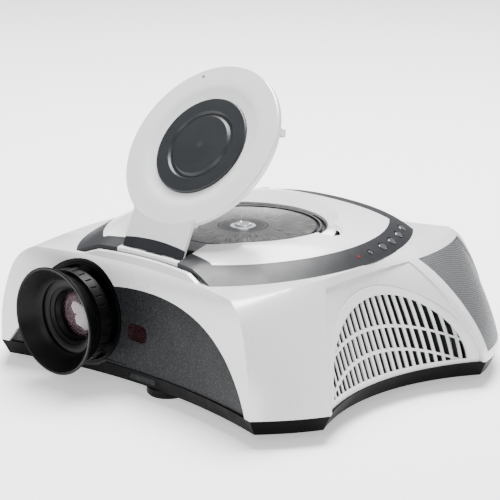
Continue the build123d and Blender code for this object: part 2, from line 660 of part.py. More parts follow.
# board under the keys: a strip that follows the dome
strip = deck_dome(BOARD_DROP) - deck_dome(BOARD_DROP + 1.2)
strip &= deck_prism(DECK_A, DECK_B, DECK_FRONT, DECK_REAR, 5.8) - deck_prism(BAND_A, BAND_B, BAND_FRONT, BAND_REAR, 4)
keypad_board = strip & block(70, 130, -4, 100, 90, 120)
keypad_board = keypad_board.solids().sort_by(SortBy.VOLUME)[-1]

# ---------------------------------------------------------------- white deck with the dished well rim
inner_fit = deck_prism(BAND_A, BAND_B, BAND_FRONT, BAND_REAR, GAP / 2)
rim_ring = dome & rod_z(0, WELL_Y, LEDGE_Z, 140, RIM_R + 3)
deck = (dome_shell + rim_ring) & inner_fit
deck -= rod_z(0, WELL_Y, 100, 140, WELL_R)
slope = (RIM_R - WELL_R) / (RIM_Z - BOWL_FOOT_Z)
bowl_top = 10.0
bowl = revolve(Plane.XZ * make_face(Polyline(
    (0, BOWL_FOOT_Z), (WELL_R, BOWL_FOOT_Z), (WELL_R + slope * bowl_top, BOWL_FOOT_Z + bowl_top),
    (0, BOWL_FOOT_Z + bowl_top), (0, BOWL_FOOT_Z))), Axis.Z)
deck -= Pos(0, WELL_Y, 0) * bowl
SCOOP_ANGLE = 13.0
scoop = Pos((RIM_R + 1) * cos(radians(SCOOP_ANGLE)), WELL_Y + (RIM_R + 1) * sin(radians(SCOOP_ANGLE)), RIM_Z + 9) * Sphere(17)
deck -= scoop
deck -= arm_slot
deck_cover = deck

# ---------------------------------------------------------------- disc well
well = rod_z(0, WELL_Y, WELL_FLOOR_Z - FLOOR_WALL, LEDGE_Z, RIM_R - 2)
well -= rod_z(0, DISC_Y, WELL_FLOOR_Z, LEDGE_Z + 1, RECESS_R)
well -= rod_z(0, DISC_Y, WELL_FLOOR_Z - 9, LEDGE_Z + 1, 16.0)
WINDOW_IN, WINDOW_OUT, WINDOW_HALF = 14.0, 60.0, 10.0
well -= block(WINDOW_IN, WINDOW_OUT, DISC_Y - WINDOW_HALF, DISC_Y + WINDOW_HALF, WELL_FLOOR_Z - 9, LEDGE_Z + 1)
HOOK_ANGLE = 23.0
HOOK_R = 68.2
groove = rod_z(0, WELL_Y, LEDGE_Z - 3.2, LEDGE_Z + 1, WELL_R - 1.2) - rod_z(0, WELL_Y, LEDGE_Z - 9, LEDGE_Z + 2, WELL_R - 7)
cutter = make_face(Polyline((0, 0), (120 * cos(radians(8)), 120 * sin(radians(8))),
                            (170 * cos(radians(40)), 170 * sin(radians(40))),
                            (120 * cos(radians(72)), 120 * sin(radians(72))), (0, 0)))
groove &= Pos(0, WELL_Y, 90) * extrude(cutter, 40)
groove -= rod_z(0, DISC_Y, 90, 130, RECESS_R + 1.6)
well -= groove
hook_x, hook_y = HOOK_R * cos(radians(HOOK_ANGLE)), WELL_Y + HOOK_R * sin(radians(HOOK_ANGLE))
well -= Pos(hook_x, hook_y, 110) * (Rot(0, 0, HOOK_ANGLE) * Box(7.0, 9.0, 20))
POSTS = ((-46.0, 26.0), (46.0, 26.0), (-46.0, -36.0), (46.0, -36.0))
CHASSIS_Z = 96.0
CHASSIS_T = 2.0
for px, py in POSTS:
    well += rod_z(px, py, CHASSIS_Z + CHASSIS_T, WELL_FLOOR_Z - FLOOR_WALL, 3.5)
disc_well = well

# ---------------------------------------------------------------- disc drive under the well
chassis = block(-54, 66, -46, 36, CHASSIS_Z, CHASSIS_Z + CHASSIS_T)
chassis = fillet(chassis.edges().filter_by(Axis.Z), 6)
chassis -= block(24, 58, DISC_Y - 17, DISC_Y + 17, CHASSIS_Z - 1, CHASSIS_Z + 9)
ROD_Z, ROD_HALF = 102.0, 14.0
ROD_IN, ROD_OUT = 16.0, 63.0
for ry in (DISC_Y - ROD_HALF, DISC_Y + ROD_HALF):
    for rx in (ROD_IN, ROD_OUT):
        chassis += block(rx - 2, rx + 2, ry - 3, ry + 3, CHASSIS_Z + CHASSIS_T, ROD_Z + 3)
        chassis -= rod_x(ry, ROD_Z, rx - 3, rx + 3, PIN_R)
drive_chassis = chassis
guide_rods = Compound(children=[
    rod_x(ry, ROD_Z, ROD_IN - 2, ROD_OUT + 2, PIN_R) for ry in (DISC_Y - ROD_HALF, DISC_Y + ROD_HALF)])
SLED_LEN = 16.0
SLED_IN = ROD_IN + 3.0
sled = block(SLED_IN, SLED_IN + SLED_LEN, DISC_Y - ROD_HALF - 4, DISC_Y + ROD_HALF + 4, ROD_Z - 2.8, ROD_Z + 2.8)
sled = fillet(sled.edges().filter_by(Axis.Z), 2)
for ry in (DISC_Y - ROD_HALF, DISC_Y + ROD_HALF):
    sled -= rod_x(ry, ROD_Z, SLED_IN - 1, SLED_IN + SLED_LEN + 1, PIN_R + RUN)
sled += rod_z(SLED_IN + SLED_LEN / 2, DISC_Y, ROD_Z + 2.5, ROD_Z + 5.0, 6.0)
pickup_sled = sled
pickup_lens = rod_z(SLED_IN + SLED_LEN / 2, DISC_Y, ROD_Z + 5.0, ROD_Z + 6.6, 3.0)

MOTOR_R, SHAFT_R = 13.0, 1.5
spindle_motor = rod_z(0, DISC_Y, CHASSIS_Z + CHASSIS_T, ROD_Z + 3, MOTOR_R)
spindle_motor = chamfer(spindle_motor.edges().group_by(Axis.Z)[-1], 1.5)
spindle_motor -= rod_z(0, DISC_Y, CHASSIS_Z + 4, ROD_Z + 9, SHAFT_R + RUN)
turntable = rod_z(0, DISC_Y, CHASSIS_Z + 4.5, DISC_Z - 1, SHAFT_R)
turntable += rod_z(0, DISC_Y, ROD_Z + 4, DISC_Z, 13.0)
boss = rod_z(0, DISC_Y, DISC_Z - 0.5, DISC_Z + 2.9, DISC_BORE_R - 0.1)
boss = chamfer(boss.edges().group_by(Axis.Z)[-1], 0.9)
turntable += boss
for i in range(3):
    turn = radians(120 * i + 30)
    turntable += Pos((DISC_BORE_R - 1.9) * cos(turn), DISC_Y + (DISC_BORE_R - 1.9) * sin(turn), DISC_Z + 2.0) * Sphere(1.5)
disc = rod_z(0, DISC_Y, DISC_Z, DISC_Z + DISC_T, DISC_R) - rod_z(0, DISC_Y, DISC_Z - 1, DISC_Z + 3, DISC_BORE_R)

# ---------------------------------------------------------------- lid, modelled shut
LID_Y = -10.3


def turned_z(y, points):
    return Pos(0, y, 0) * revolve(Plane.XZ * make_face(Polyline(*points, points[0])), Axis.Z)


t = LID_TOP_Z
lid_ring = turned_z(LID_Y, [
    (LID_R, t - LID_EDGE), (LID_R, t - 1.0), (LID_R - 1.0, t), (DISH_R + 1, t + 0.3), (DISH_R - 1.5, t - 0.1),
    (PLATE_R + 4.5, t - 2.0), (PLATE_R + GAP, t - 2.0), (PLATE_R + GAP, t - 3.2), (PLATE_R - 3.5, t - 3.2),
    (PLATE_R - 3.5, t - 4.2), (PLATE_R + 4.0, t - 4.2), (DISH_R, t - 2.4), (LID_R - LID_WALL, t - 2.2),
    (LID_R - LID_WALL, t - LID_EDGE),
])
arm_all = dome_shell & block(-ARM_HALF, ARM_HALF, HINGE_Y + 0.7, LID_Y - 50, HINGE_Z, RIM_Z + 5)
arm_all -= rod_z(0, LID_Y, 90, 140, LID_R - 1.6)
arm_all = arm_all.solids().sort_by(SortBy.VOLUME)[-1]
trim_zone = deck_prism(DECK_A, DECK_B, DECK_FRONT, DECK_REAR, -5) - deck_prism(BAND_A, BAND_B, BAND_FRONT, BAND_REAR)
trim = arm_all & (dome - deck_dome(1.2)) & trim_zone
arm_trim = trim.solids().sort_by(SortBy.VOLUME)[-1]
POST_R = KNUCKLE_R - 0.2
lid_arm = arm_all - arm_trim - rod_x(HINGE_Y, HINGE_Z, -ARM_HALF - 1, ARM_HALF + 1, POST_R + GAP)
KNUCKLES = ((-21.5, -9.5), (9.5, 21.5))
for x0, x1 in KNUCKLES:
    lid_arm += rod_x(HINGE_Y, HINGE_Z, x0, x1, KNUCKLE_R)
    lid_arm += block(x0, x1, HINGE_Y + 0.7, HINGE_Y + KNUCKLE_R + 2, HINGE_Z, HINGE_Z + 3.2)
for x0, x1 in KNUCKLES:
    lid_arm -= rod_x(HINGE_Y, HINGE_Z, x0 - 1, x1 + 1, PIN_R + RUN)
web = rod_z(0, LID_Y, t - LID_EDGE, RIM_Z + 5, LID_R + 2.0) - rod_z(0, LID_Y, 90, 140, LID_R - 1.6)
web &= block(-ARM_HALF, ARM_HALF, LID_Y - 90, LID_Y - 40, 100, 140)
lid_shell = lid_ring + lid_arm
lid_shell += web & dome
hole_turn = radians(118)
lid_shell -= rod_z(65 * cos(hole_turn), LID_Y + 65 * sin(hole_turn), t - 9, t + 9, 1.5)

groove_r = 27.8
lid_plate = turned_z(LID_Y, [
    (0, t - 3.2), (PLATE_R, t - 3.2), (PLATE_R, t - 0.6), (PLATE_R - 0.6, t), (groove_r + 2.4, t + 0.2),
    (groove_r + 0.8, t - 1.3), (groove_r - 0.6, t - 1.3), (groove_r - 2.6, t + 0.4), (0, t + 0.9),
])
lid_liner = turned_z(LID_Y, [
    (14, t - 3.2), (PLATE_R - 4, t - 3.2), (PLATE_R - 4, t - 4.2), (LID_R - LID_WALL - GAP, t - 4.2),
    (LID_R - LID_WALL - GAP, t - LID_EDGE), (15.5, t - LID_EDGE),
])
lid_hook = Pos(hook_x, hook_y, 0) * (Rot(0, 0, HOOK_ANGLE) * Pos(0, 0, t - LID_EDGE - 3.6) * Box(2.4, 6.0, 7.2))
lid_hook += Pos(hook_x, hook_y, 0) * (Rot(0, 0, HOOK_ANGLE) * Pos(1.6, 0, t - LID_EDGE - 6.4) * Box(2.4, 6.0, 1.6))

hinge_pin = rod_x(HINGE_Y, HINGE_Z, -30.5, 30.5, PIN_R)
hinge_block = block(-31, 31, HINGE_Y + 3.6, WELL_Y - RIM_R + 14, HINGE_Z - 6, WELL_FLOOR_Z - FLOOR_WALL)
HOLD_POSTS = ((-30.5, -22.1), (-8.9, 8.9), (22.1, 30.5))
for x0, x1 in HOLD_POSTS:
    hinge_block += rod_x(HINGE_Y, HINGE_Z, x0, x1, POST_R)
    hinge_block += block(x0, x1, HINGE_Y - KNUCKLE_R + 0.2, HINGE_Y + 4, HINGE_Z - 6, HINGE_Z)
hinge_block -= rod_x(HINGE_Y, HINGE_Z, -40, 40, PIN_R)

# ---------------------------------------------------------------- side vents
GRILLE_SET = 1.1
GRILLE_T = 4.0
fit_arch = arch_points(SIDE_F_FOOT[1] + 5 + GAP, SIDE_R_FOOT[1] - 2 - GAP, SKIRT_Z - 1, SIDE_ARCH_Z - GAP, 17)
field_arch = arch_points(SIDE_F_FOOT[1] + 5 + LIP + 6, SIDE_R_FOOT[1] - 2 - LIP - 1, SKIRT_Z + 3, SIDE_ARCH_Z - LIP, 17)
fit_bar = Pos(90, 0, 0) * extrude(arch_face(Plane.YZ, fit_arch), 120)
field_bar = Pos(90, 0, 0) * extrude(arch_face(Plane.YZ, field_arch), 120)
rim_plate = side_tool(GRILLE_SET + GRILLE_T, -1, SKIRT_Z, 98) - side_tool(GRILLE_SET, -3, SKIRT_Z - 1, 99)
slat_zone = side_tool(GRILLE_SET + GRILLE_T + 2.5, -1, SKIRT_Z, 98) - side_tool(GRILLE_SET + 1.2, -3, SKIRT_Z - 1, 99)
grille_rim = (rim_plate & fit_bar) - field_bar
slats = []
first = SIDE_F_FOOT[1] + 5 + LIP + 6
last = SIDE_R_FOOT[1] - 2 - LIP - 1
count = int((last - first) / SLAT_PITCH)
for i in range(1, count + 1):
    y = first + i * SLAT_PITCH
    slats.append(block(100, 200, y - SLAT_T / 2, y + SLAT_T / 2, SKIRT_Z, 100))
RIB_LEVELS = (0.31, 0.62)
ribs = []
for level in RIB_LEVELS:
    top = SKIRT_Z + 3 + (SIDE_ARCH_Z - LIP - SKIRT_Z - 3) * level
    low = top - 21
    mid = (first + last) / 2
    outer = ThreePointArc((first - 12, low), (mid + 4, top), (last + 12, low - 6))
    inner = ThreePointArc((last + 12, low - 6 - RIB_T), (mid + 4, top - RIB_T), (first - 12, low - RIB_T))
    edge = outer + Line(outer @ 1, inner @ 0) + inner + Line(inner @ 1, outer @ 0)
    ribs.append(Pos(100, 0, 0) * extrude(Plane.YZ * make_face(edge), 100))
bars = slats[0]
for piece in slats[1:] + ribs:
    bars += piece
grow_arch = arch_points(first - 0.5, last + 0.5, SKIRT_Z + 2.6, SIDE_ARCH_Z - LIP + 0.5, 17)
grow_bar = Pos(90, 0, 0) * extrude(arch_face(Plane.YZ, grow_arch), 120)
field = (slat_zone & grow_bar) & bars
vent_right = grille_rim + field
vent_left = flip(vent_right)

# ---------------------------------------------------------------- speakers on the rear legs
mesh_slab = leg_tool(MESH_SEAT - RUN, 7.0, SKIRT_Z + 5, 97.0) - leg_tool(0.2, 5, SKIRT_Z, 99)
mesh_slab &= leg_tool(4.0, 7.0 + GAP, SKIRT_Z + 5, 97.0)
mesh_slab &= body
mesh_slab &= block(90, 200, 40, 180, SKIRT_Z + 5 + GAP, 97 - GAP)
speaker_mesh_right = mesh_slab
speaker_mesh_left = flip(mesh_slab)

DRIVER_DEEP = 16.0
driver = extrude(speaker_plane.offset(-SPEAKER_SEAT - 3) * Circle(SPEAKER_R), 3)
driver += loft([
    speaker_plane.offset(-SPEAKER_SEAT - 3) * Circle(SPEAKER_R - 2).face(),
    speaker_plane.offset(-SPEAKER_SEAT - 12) * Circle(11).face(),
])
driver += extrude(speaker_plane.offset(-SPEAKER_SEAT - DRIVER_DEEP - 4) * Circle(13), 9)
driver -= loft([
    speaker_plane.offset(-SPEAKER_SEAT + 0.1) * Circle(SPEAKER_R - 3.5).face(),
    speaker_plane.offset(-SPEAKER_SEAT - 9) * Circle(8).face(),
])
speaker_drivers = Compound(children=[driver, flip(driver)])

# ---------------------------------------------------------------- rear panel and its sockets
rear_slab = rear_tool(PANEL_SET + PANEL_T, -2, SKIRT_Z, 96) - rear_tool(PANEL_SET, -4, SKIRT_Z - 1, 97)
rear_plan = arch_face(Plane.XZ, arch_points(-112 + GAP, 112 - GAP, SKIRT_Z - 1, ARCH_Z - 2 - GAP, 0))
rear_panel = rear_slab & (Pos(0, 190, 0) * extrude(rear_plan, 100))
SOCKET_BOARD_Y = 120.0
JACKS = ((20.0, 60.0), (34.0, 60.0), (48.0, 60.0))
JACK_R = 4.2
ROUND_PORT = (4.0, 60.0, 5.2)
PHONE_JACK = (54.0, 36.0, 3.2)
VIDEO_X, VIDEO_Z = 20.0, 36.0
VIDEO_LONG, VIDEO_HIGH = 32.0, 12.0
INLET_X, INLET_Z = -62.0, 44.0
INLET_LONG, INLET_HIGH = 30.0, 22.0
jacks = []
for jx, jz in JACKS:
    rear_panel -= rod_y(jx, jz, 110, 170, JACK_R + GAP)
    jack = rod_y(jx, jz, SOCKET_BOARD_Y + 1.6, 143.5, JACK_R) - rod_y(jx, jz, 126, 150, 1.6)
    jack -= rod_y(jx, jz, 128, 150, JACK_R - 0.5) - rod_y(jx, jz, 127, 151, JACK_R - 1.1)
    jacks.append(jack)
av_jacks = Compound(children=jacks)
for jx, jz, jr in (ROUND_PORT, PHONE_JACK):
    rear_panel -= rod_y(jx, jz, 110, 170, jr + GAP)
rear_panel -= block(VIDEO_X - VIDEO_LONG / 2 - GAP, VIDEO_X + VIDEO_LONG / 2 + GAP, 110, 170,
                    VIDEO_Z - VIDEO_HIGH / 2 - GAP, VIDEO_Z + VIDEO_HIGH / 2 + GAP)
rear_panel -= block(INLET_X - INLET_LONG / 2 - GAP, INLET_X + INLET_LONG / 2 + GAP, 110, 170,
                    INLET_Z - INLET_HIGH / 2 - GAP, INLET_Z + INLET_HIGH / 2 + GAP)
socket_board = block(-12, 68, SOCKET_BOARD_Y, SOCKET_BOARD_Y + 1.6, SKIRT_Z + 2, 70)
socket_board += block(-12, -4, SOCKET_BOARD_Y - 12, SOCKET_BOARD_Y, floor_z, SKIRT_Z + 5)
socket_board += block(58, 66, SOCKET_BOARD_Y - 12, SOCKET_BOARD_Y, floor_z, SKIRT_Z + 5)
socket_board += rod_y(ROUND_PORT[0], ROUND_PORT[1], SOCKET_BOARD_Y + 1, 137.5, ROUND_PORT[2])
socket_board -= rod_y(ROUND_PORT[0], ROUND_PORT[1], 130, 140, ROUND_PORT[2] - 1)
for turn in (45, 135, 225, 315):
    px = ROUND_PORT[0] + 2.2 * cos(radians(turn))
    pz = ROUND_PORT[1] + 2.2 * sin(radians(turn))
    socket_board -= rod_y(px, pz, 126, 132, 0.5)
socket_board += rod_y(PHONE_JACK[0], PHONE_JACK[1], SOCKET_BOARD_Y + 1, 141, PHONE_JACK[2])
socket_board -= rod_y(PHONE_JACK[0], PHONE_JACK[1], 126, 150, 1.8)
video_port = block(VIDEO_X - VIDEO_LONG / 2, VIDEO_X + VIDEO_LONG / 2, SOCKET_BOARD_Y + 1.6, 138.5,
                   VIDEO_Z - VIDEO_HIGH / 2, VIDEO_Z + VIDEO_HIGH / 2)
shell_plan = make_face(Polyline((-8.6, 3.9), (8.6, 3.9), (7.4, -3.9), (-7.4, -3.9), (-8.6, 3.9)))
core_plan = make_face(Polyline((-8.0, 3.4), (8.0, 3.4), (6.9, -3.4), (-6.9, -3.4), (-8.0, 3.4)))
to_port = Plane(origin=(VIDEO_X, 138, VIDEO_Z), x_dir=(1, 0, 0), z_dir=(0, -1, 0))
video_port += extrude(to_port * shell_plan, -5.5)
video_port -= extrude(to_port.offset(-0.5) * core_plan, -6)
for row in range(3):
    for place in range(5):
        hx = VIDEO_X - 4.6 + place * 2.3 - (row % 2) * 1.1
        video_port -= block(hx - 0.3, hx + 0.3, 132, 142, VIDEO_Z - 2.3 + row * 2.0, VIDEO_Z - 1.7 + row * 2.0)
mains_inlet = block(INLET_X - INLET_LONG / 2, INLET_X + INLET_LONG / 2, 124, 142.6,
                    INLET_Z - INLET_HIGH / 2, INLET_Z + INLET_HIGH / 2)
mains_inlet -= block(INLET_X - 12, INLET_X + 12, 127, 150, INLET_Z - 8, INLET_Z + 8)
for px, pz in ((-7.0, -2.0), (0.0, 2.0), (7.0, -2.0)):
    mains_inlet += block(INLET_X + px - 1, INLET_X + px + 1, 126, 139, INLET_Z + pz - 2, INLET_Z + pz + 2)

# ---------------------------------------------------------------- light engine, colour wheel and lamp
BEAM_Y, BEAM_Z = 52.0, 55.0
ENGINE_SIDE = 36.0
ENGINE_END = 74.0
ARM_END = 46.0
ex0, ex1 = LENS_X - ENGINE_SIDE, LENS_X + ENGINE_SIDE
engine = block(ex0, ex1, BARREL_BACK, ENGINE_END, 24, 88)
engine += block(ex1 - 1, ARM_END, BEAM_Y - 22, BEAM_Y + 22, 34, 76)
engine -= block(ex0 + WALL, ex1 - WALL, 10, ENGINE_END - WALL, 24 + WALL, 88 - WALL)
engine -= block(ex1 - 9, ARM_END - WALL, BEAM_Y - 22 + WALL, BEAM_Y + 22 - WALL, 34 + WALL, 76 - WALL)
engine -= rod_y(LENS_X, LENS_Z, BARREL_BACK - 1, 12, GLASS_R - 2)
engine -= rod_x(BEAM_Y, BEAM_Z, ARM_END - 6, ARM_END + 6, 10)
for fx in (ex0 + 8, ex1 - 8):
    for fy in (BARREL_BACK + 10, ENGINE_END - 10):
        engine += rod_z(fx, fy, floor_z, 25, 4)
WHEEL_R = 22.0
WHEEL_Z = BEAM_Z - 16.0
wheel_x = ARM_END + 4.6
engine += rod_x(BEAM_Y, WHEEL_Z, ARM_END - WALL, ARM_END + 3.4, 5.6)
engine -= rod_x(BEAM_Y, WHEEL_Z, ARM_END - 6, ARM_END + 9, SHAFT_R + RUN)
light_engine = engine
colour_wheel = rod_x(BEAM_Y, WHEEL_Z, wheel_x, wheel_x + 1.4, WHEEL_R)
colour_wheel += rod_x(BEAM_Y, WHEEL_Z, ARM_END + 3.7, wheel_x + 3.2, 6.0)
colour_wheel += rod_x(BEAM_Y, WHEEL_Z, ARM_END - WALL + 0.2, ARM_END + 4, SHAFT_R)

lx0, lx1 = 66.0, 118.0
lamp_housing = block(lx0, lx1, 26, 78, floor_z + 1, 74)
lamp_housing -= block(lx0 - 1, lx1 - WALL, 26 + WALL, 78 - WALL, floor_z + 1 + WALL, 74 - WALL)
lamp_housing += block(lx0 - 7, lx0 + WALL, 26, 34, floor_z, floor_z + 4)
lamp_housing += block(lx0 - 7, lx0 + WALL, 70, 78, floor_z, floor_z + 4)
for i in range(7):
    lamp_housing -= block(lx1 - 4, lx1 + 1, 32 + i * 6, 35 + i * 6, 24, 64)
bowl_profile = [(104, 5.2), (98, 11.6), (88, 17.0), (74, 20.2), (74, 22.0), (87, 19.0), (97, 13.6), (105, 7.2),
                (lx1 - WALL - 0.1, 7.2), (lx1 - WALL - 0.1, 5.2)]
reflector_face = make_face(Polyline(*bowl_profile, bowl_profile[0]))
lamp_reflector = Pos(0, BEAM_Y, BEAM_Z - 6) * revolve(Plane.XY * reflector_face, Axis.X)
lamp_bulb = rod_x(BEAM_Y, BEAM_Z - 6, 80, 113.5, 4.9)

# ---------------------------------------------------------------- fans
FAN_SIZE = 60.0
FAN_X0, FAN_X1 = 106.0, 122.0
FAN_Y = -16.0
FAN_Z = floor_z + FAN_SIZE / 2
fan = block(FAN_X0, FAN_X1, FAN_Y - FAN_SIZE / 2, FAN_Y + FAN_SIZE / 2, floor_z, floor_z + FAN_SIZE)
fan = fillet(fan.edges().filter_by(Axis.X), 4)
fan -= rod_x(FAN_Y, FAN_Z, FAN_X0 - 1, FAN_X1 + 1, 28)
fan += rod_x(FAN_Y, FAN_Z, FAN_X0, FAN_X0 + 2.5, 12)
for turn in (0, 90):
    fan += Pos(FAN_X0 + 1.2, FAN_Y, FAN_Z) * (Rot(45 + turn, 0, 0) * Box(2.4, 58, 3))
fan -= rod_x(FAN_Y, FAN_Z, FAN_X0 - 1, FAN_X0 + 9, SHAFT_R + RUN)
fan_frames = Compound(children=[fan, flip(fan)])
rotor = rod_x(FAN_Y, FAN_Z, FAN_X0 + 3.2, FAN_X1 - 3, 11.5)
rotor += rod_x(FAN_Y, FAN_Z, FAN_X0 + 0.5, FAN_X0 + 4, SHAFT_R)
BLADES = 7
for i in range(BLADES):
    blade = Pos(0, 0, 18.5) * (Rot(0, 0, 38) * Box(12.0, 1.4, 16.0))
    rotor += Pos((FAN_X0 + FAN_X1) / 2, FAN_Y, FAN_Z) * (Rot(360 * i / BLADES, 0, 0) * blade)
fan_rotor_right = rotor
fan_rotor_left = flip(rotor)

# ---------------------------------------------------------------- boards
main_board = block(-14, 98, -86, 14, BOARD_Z, BOARD_Z + 1.6)
for cx, cy, sx, sy, sz in ((30, -40, 24, 24, 3), (62, -50, 30, 12, 4), (20, -8, 14, 20, 3), (72, -14, 18, 18, 3),
                           (84, -72, 16, 9, 11), (6, -72, 20, 8, 9)):
    main_board += block(cx - sx / 2, cx + sx / 2, cy - sy / 2, cy + sy / 2, BOARD_Z + 1, BOARD_Z + 1.6 + sz)
for i in range(4):
    main_board += rod_z(46 + i * 10, 2, BOARD_Z + 1, BOARD_Z + 11, 3.4)
for i in range(6):
    main_board += block(19 + i * 4, 20.4 + i * 4, -51, -29, BOARD_Z + 4, BOARD_Z + 16)
power_supply = block(-104, -20, 81, 124, SUPPLY_Z, SUPPLY_Z + 1.6)
power_supply += block(-82, -50, 86, 112, SUPPLY_Z + 1, SUPPLY_Z + 26)
power_supply += block(-98, -88, 92, 114, SUPPLY_Z + 1, SUPPLY_Z + 20)
for cy in (90, 104, 117):
    power_supply += rod_z(-34, cy, SUPPLY_Z + 1, SUPPLY_Z + 24, 6)

parts = {
    "upper_cover": upper_cover,
    "base_tray": base_tray,
    "foot_button": foot_button,
    "elevator_foot": elevator_foot,
    "foot_pad": foot_pad,
    "rear_feet": rear_feet,
    "lamp_door": lamp_door,
    "front_panel": front_panel,
    "remote_window": remote_window,
    "lens_cup": lens_cup,
    "lens_hood": lens_hood,
    "focus_ring": focus_ring,
    "zoom_ring": zoom_ring,
    "lens_barrel": lens_barrel,
    "front_glass": front_glass,
    "deck_band": deck_band,
    "keypad_board": keypad_board,
    "power_led": power_led,
    "deck_cover": deck_cover,
    "disc_well": disc_well,
    "drive_chassis": drive_chassis,
    "guide_rods": guide_rods,
    "pickup_sled": pickup_sled,
    "pickup_lens": pickup_lens,
    "spindle_motor": spindle_motor,
    "turntable": turntable,
    "disc": disc,
    "lid_shell": open_lid(lid_shell),
    "lid_plate": open_lid(lid_plate),
    "lid_liner": open_lid(lid_liner),
    "lid_hook": open_lid(lid_hook),
    "arm_trim": open_lid(arm_trim),
    "hinge_pin": hinge_pin,
    "hinge_block": hinge_block,
    "vent_right": vent_right,
    "vent_left": vent_left,
    "speaker_mesh_right": speaker_mesh_right,
    "speaker_mesh_left": speaker_mesh_left,
    "speaker_drivers": speaker_drivers,
    "base_screws": base_screws,
    "rear_panel": rear_panel,
    "av_jacks": av_jacks,
    "socket_board": socket_board,
    "video_port": video_port,
    "mains_inlet": mains_inlet,
    "light_engine": light_engine,
    "colour_wheel": colour_wheel,
    "lamp_housing": lamp_housing,
    "lamp_reflector": lamp_reflector,
    "lamp_bulb": lamp_bulb,
    "fan_frames": fan_frames,
    "fan_rotor_right": fan_rotor_right,
    "fan_rotor_left": fan_rotor_left,
    "main_board": main_board,
    "power_supply": power_supply,
}
for number, key in enumerate(keys, start=1):
    parts[f"key_{number}"] = key

os.makedirs("parts", exist_ok=True)
for name, shape in parts.items():
    export_step(shape, f"parts/{name}.step")
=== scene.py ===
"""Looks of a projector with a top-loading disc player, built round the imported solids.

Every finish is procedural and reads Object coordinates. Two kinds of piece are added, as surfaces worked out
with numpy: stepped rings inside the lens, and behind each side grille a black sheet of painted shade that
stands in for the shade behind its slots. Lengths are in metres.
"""

from __future__ import annotations

import json
import logging
import math
from dataclasses import dataclass, field
from enum import Enum
from typing import Protocol

import bpy
import numpy as np
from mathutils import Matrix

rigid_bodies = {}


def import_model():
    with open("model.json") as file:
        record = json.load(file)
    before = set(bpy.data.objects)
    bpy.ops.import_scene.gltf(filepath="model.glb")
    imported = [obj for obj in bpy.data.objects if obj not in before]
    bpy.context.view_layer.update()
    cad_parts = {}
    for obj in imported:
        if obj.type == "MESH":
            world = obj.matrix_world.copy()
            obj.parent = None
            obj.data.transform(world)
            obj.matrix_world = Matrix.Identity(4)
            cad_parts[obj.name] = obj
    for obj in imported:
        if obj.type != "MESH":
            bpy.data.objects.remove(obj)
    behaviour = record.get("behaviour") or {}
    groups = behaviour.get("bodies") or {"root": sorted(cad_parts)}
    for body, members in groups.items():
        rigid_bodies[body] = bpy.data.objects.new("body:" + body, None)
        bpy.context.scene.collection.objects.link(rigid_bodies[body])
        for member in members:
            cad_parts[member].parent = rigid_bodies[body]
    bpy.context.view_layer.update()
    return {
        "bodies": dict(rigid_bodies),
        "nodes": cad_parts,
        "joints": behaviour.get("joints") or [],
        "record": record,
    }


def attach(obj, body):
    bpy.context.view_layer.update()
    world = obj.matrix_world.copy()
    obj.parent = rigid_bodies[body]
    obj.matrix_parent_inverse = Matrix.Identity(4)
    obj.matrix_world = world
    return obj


LOG = logging.getLogger("projector")
MM = 0.001
Vec3 = tuple[float, float, float]
Colour = tuple[float, float, float]
Span = tuple[float, float]
Stops = tuple[tuple[float, Colour], ...]
Faces = list[tuple[int, ...]]
Socket = bpy.types.NodeSocket

WHOLE: Span = (0.0, 1.0)
# Noise seldom leaves this span, so a finish carries it onto the whole span of the value that wanders.
NOISE_CORE: Span = (0.3, 0.7)


def grey(value: float) -> Colour:
    """A neutral colour."""
    return (value, value, value)


def shade(colour: Colour, factor: float) -> Colour:
    """A colour times a factor, held at full brightness."""
    return tuple(min(1.0, part * factor) for part in colour)


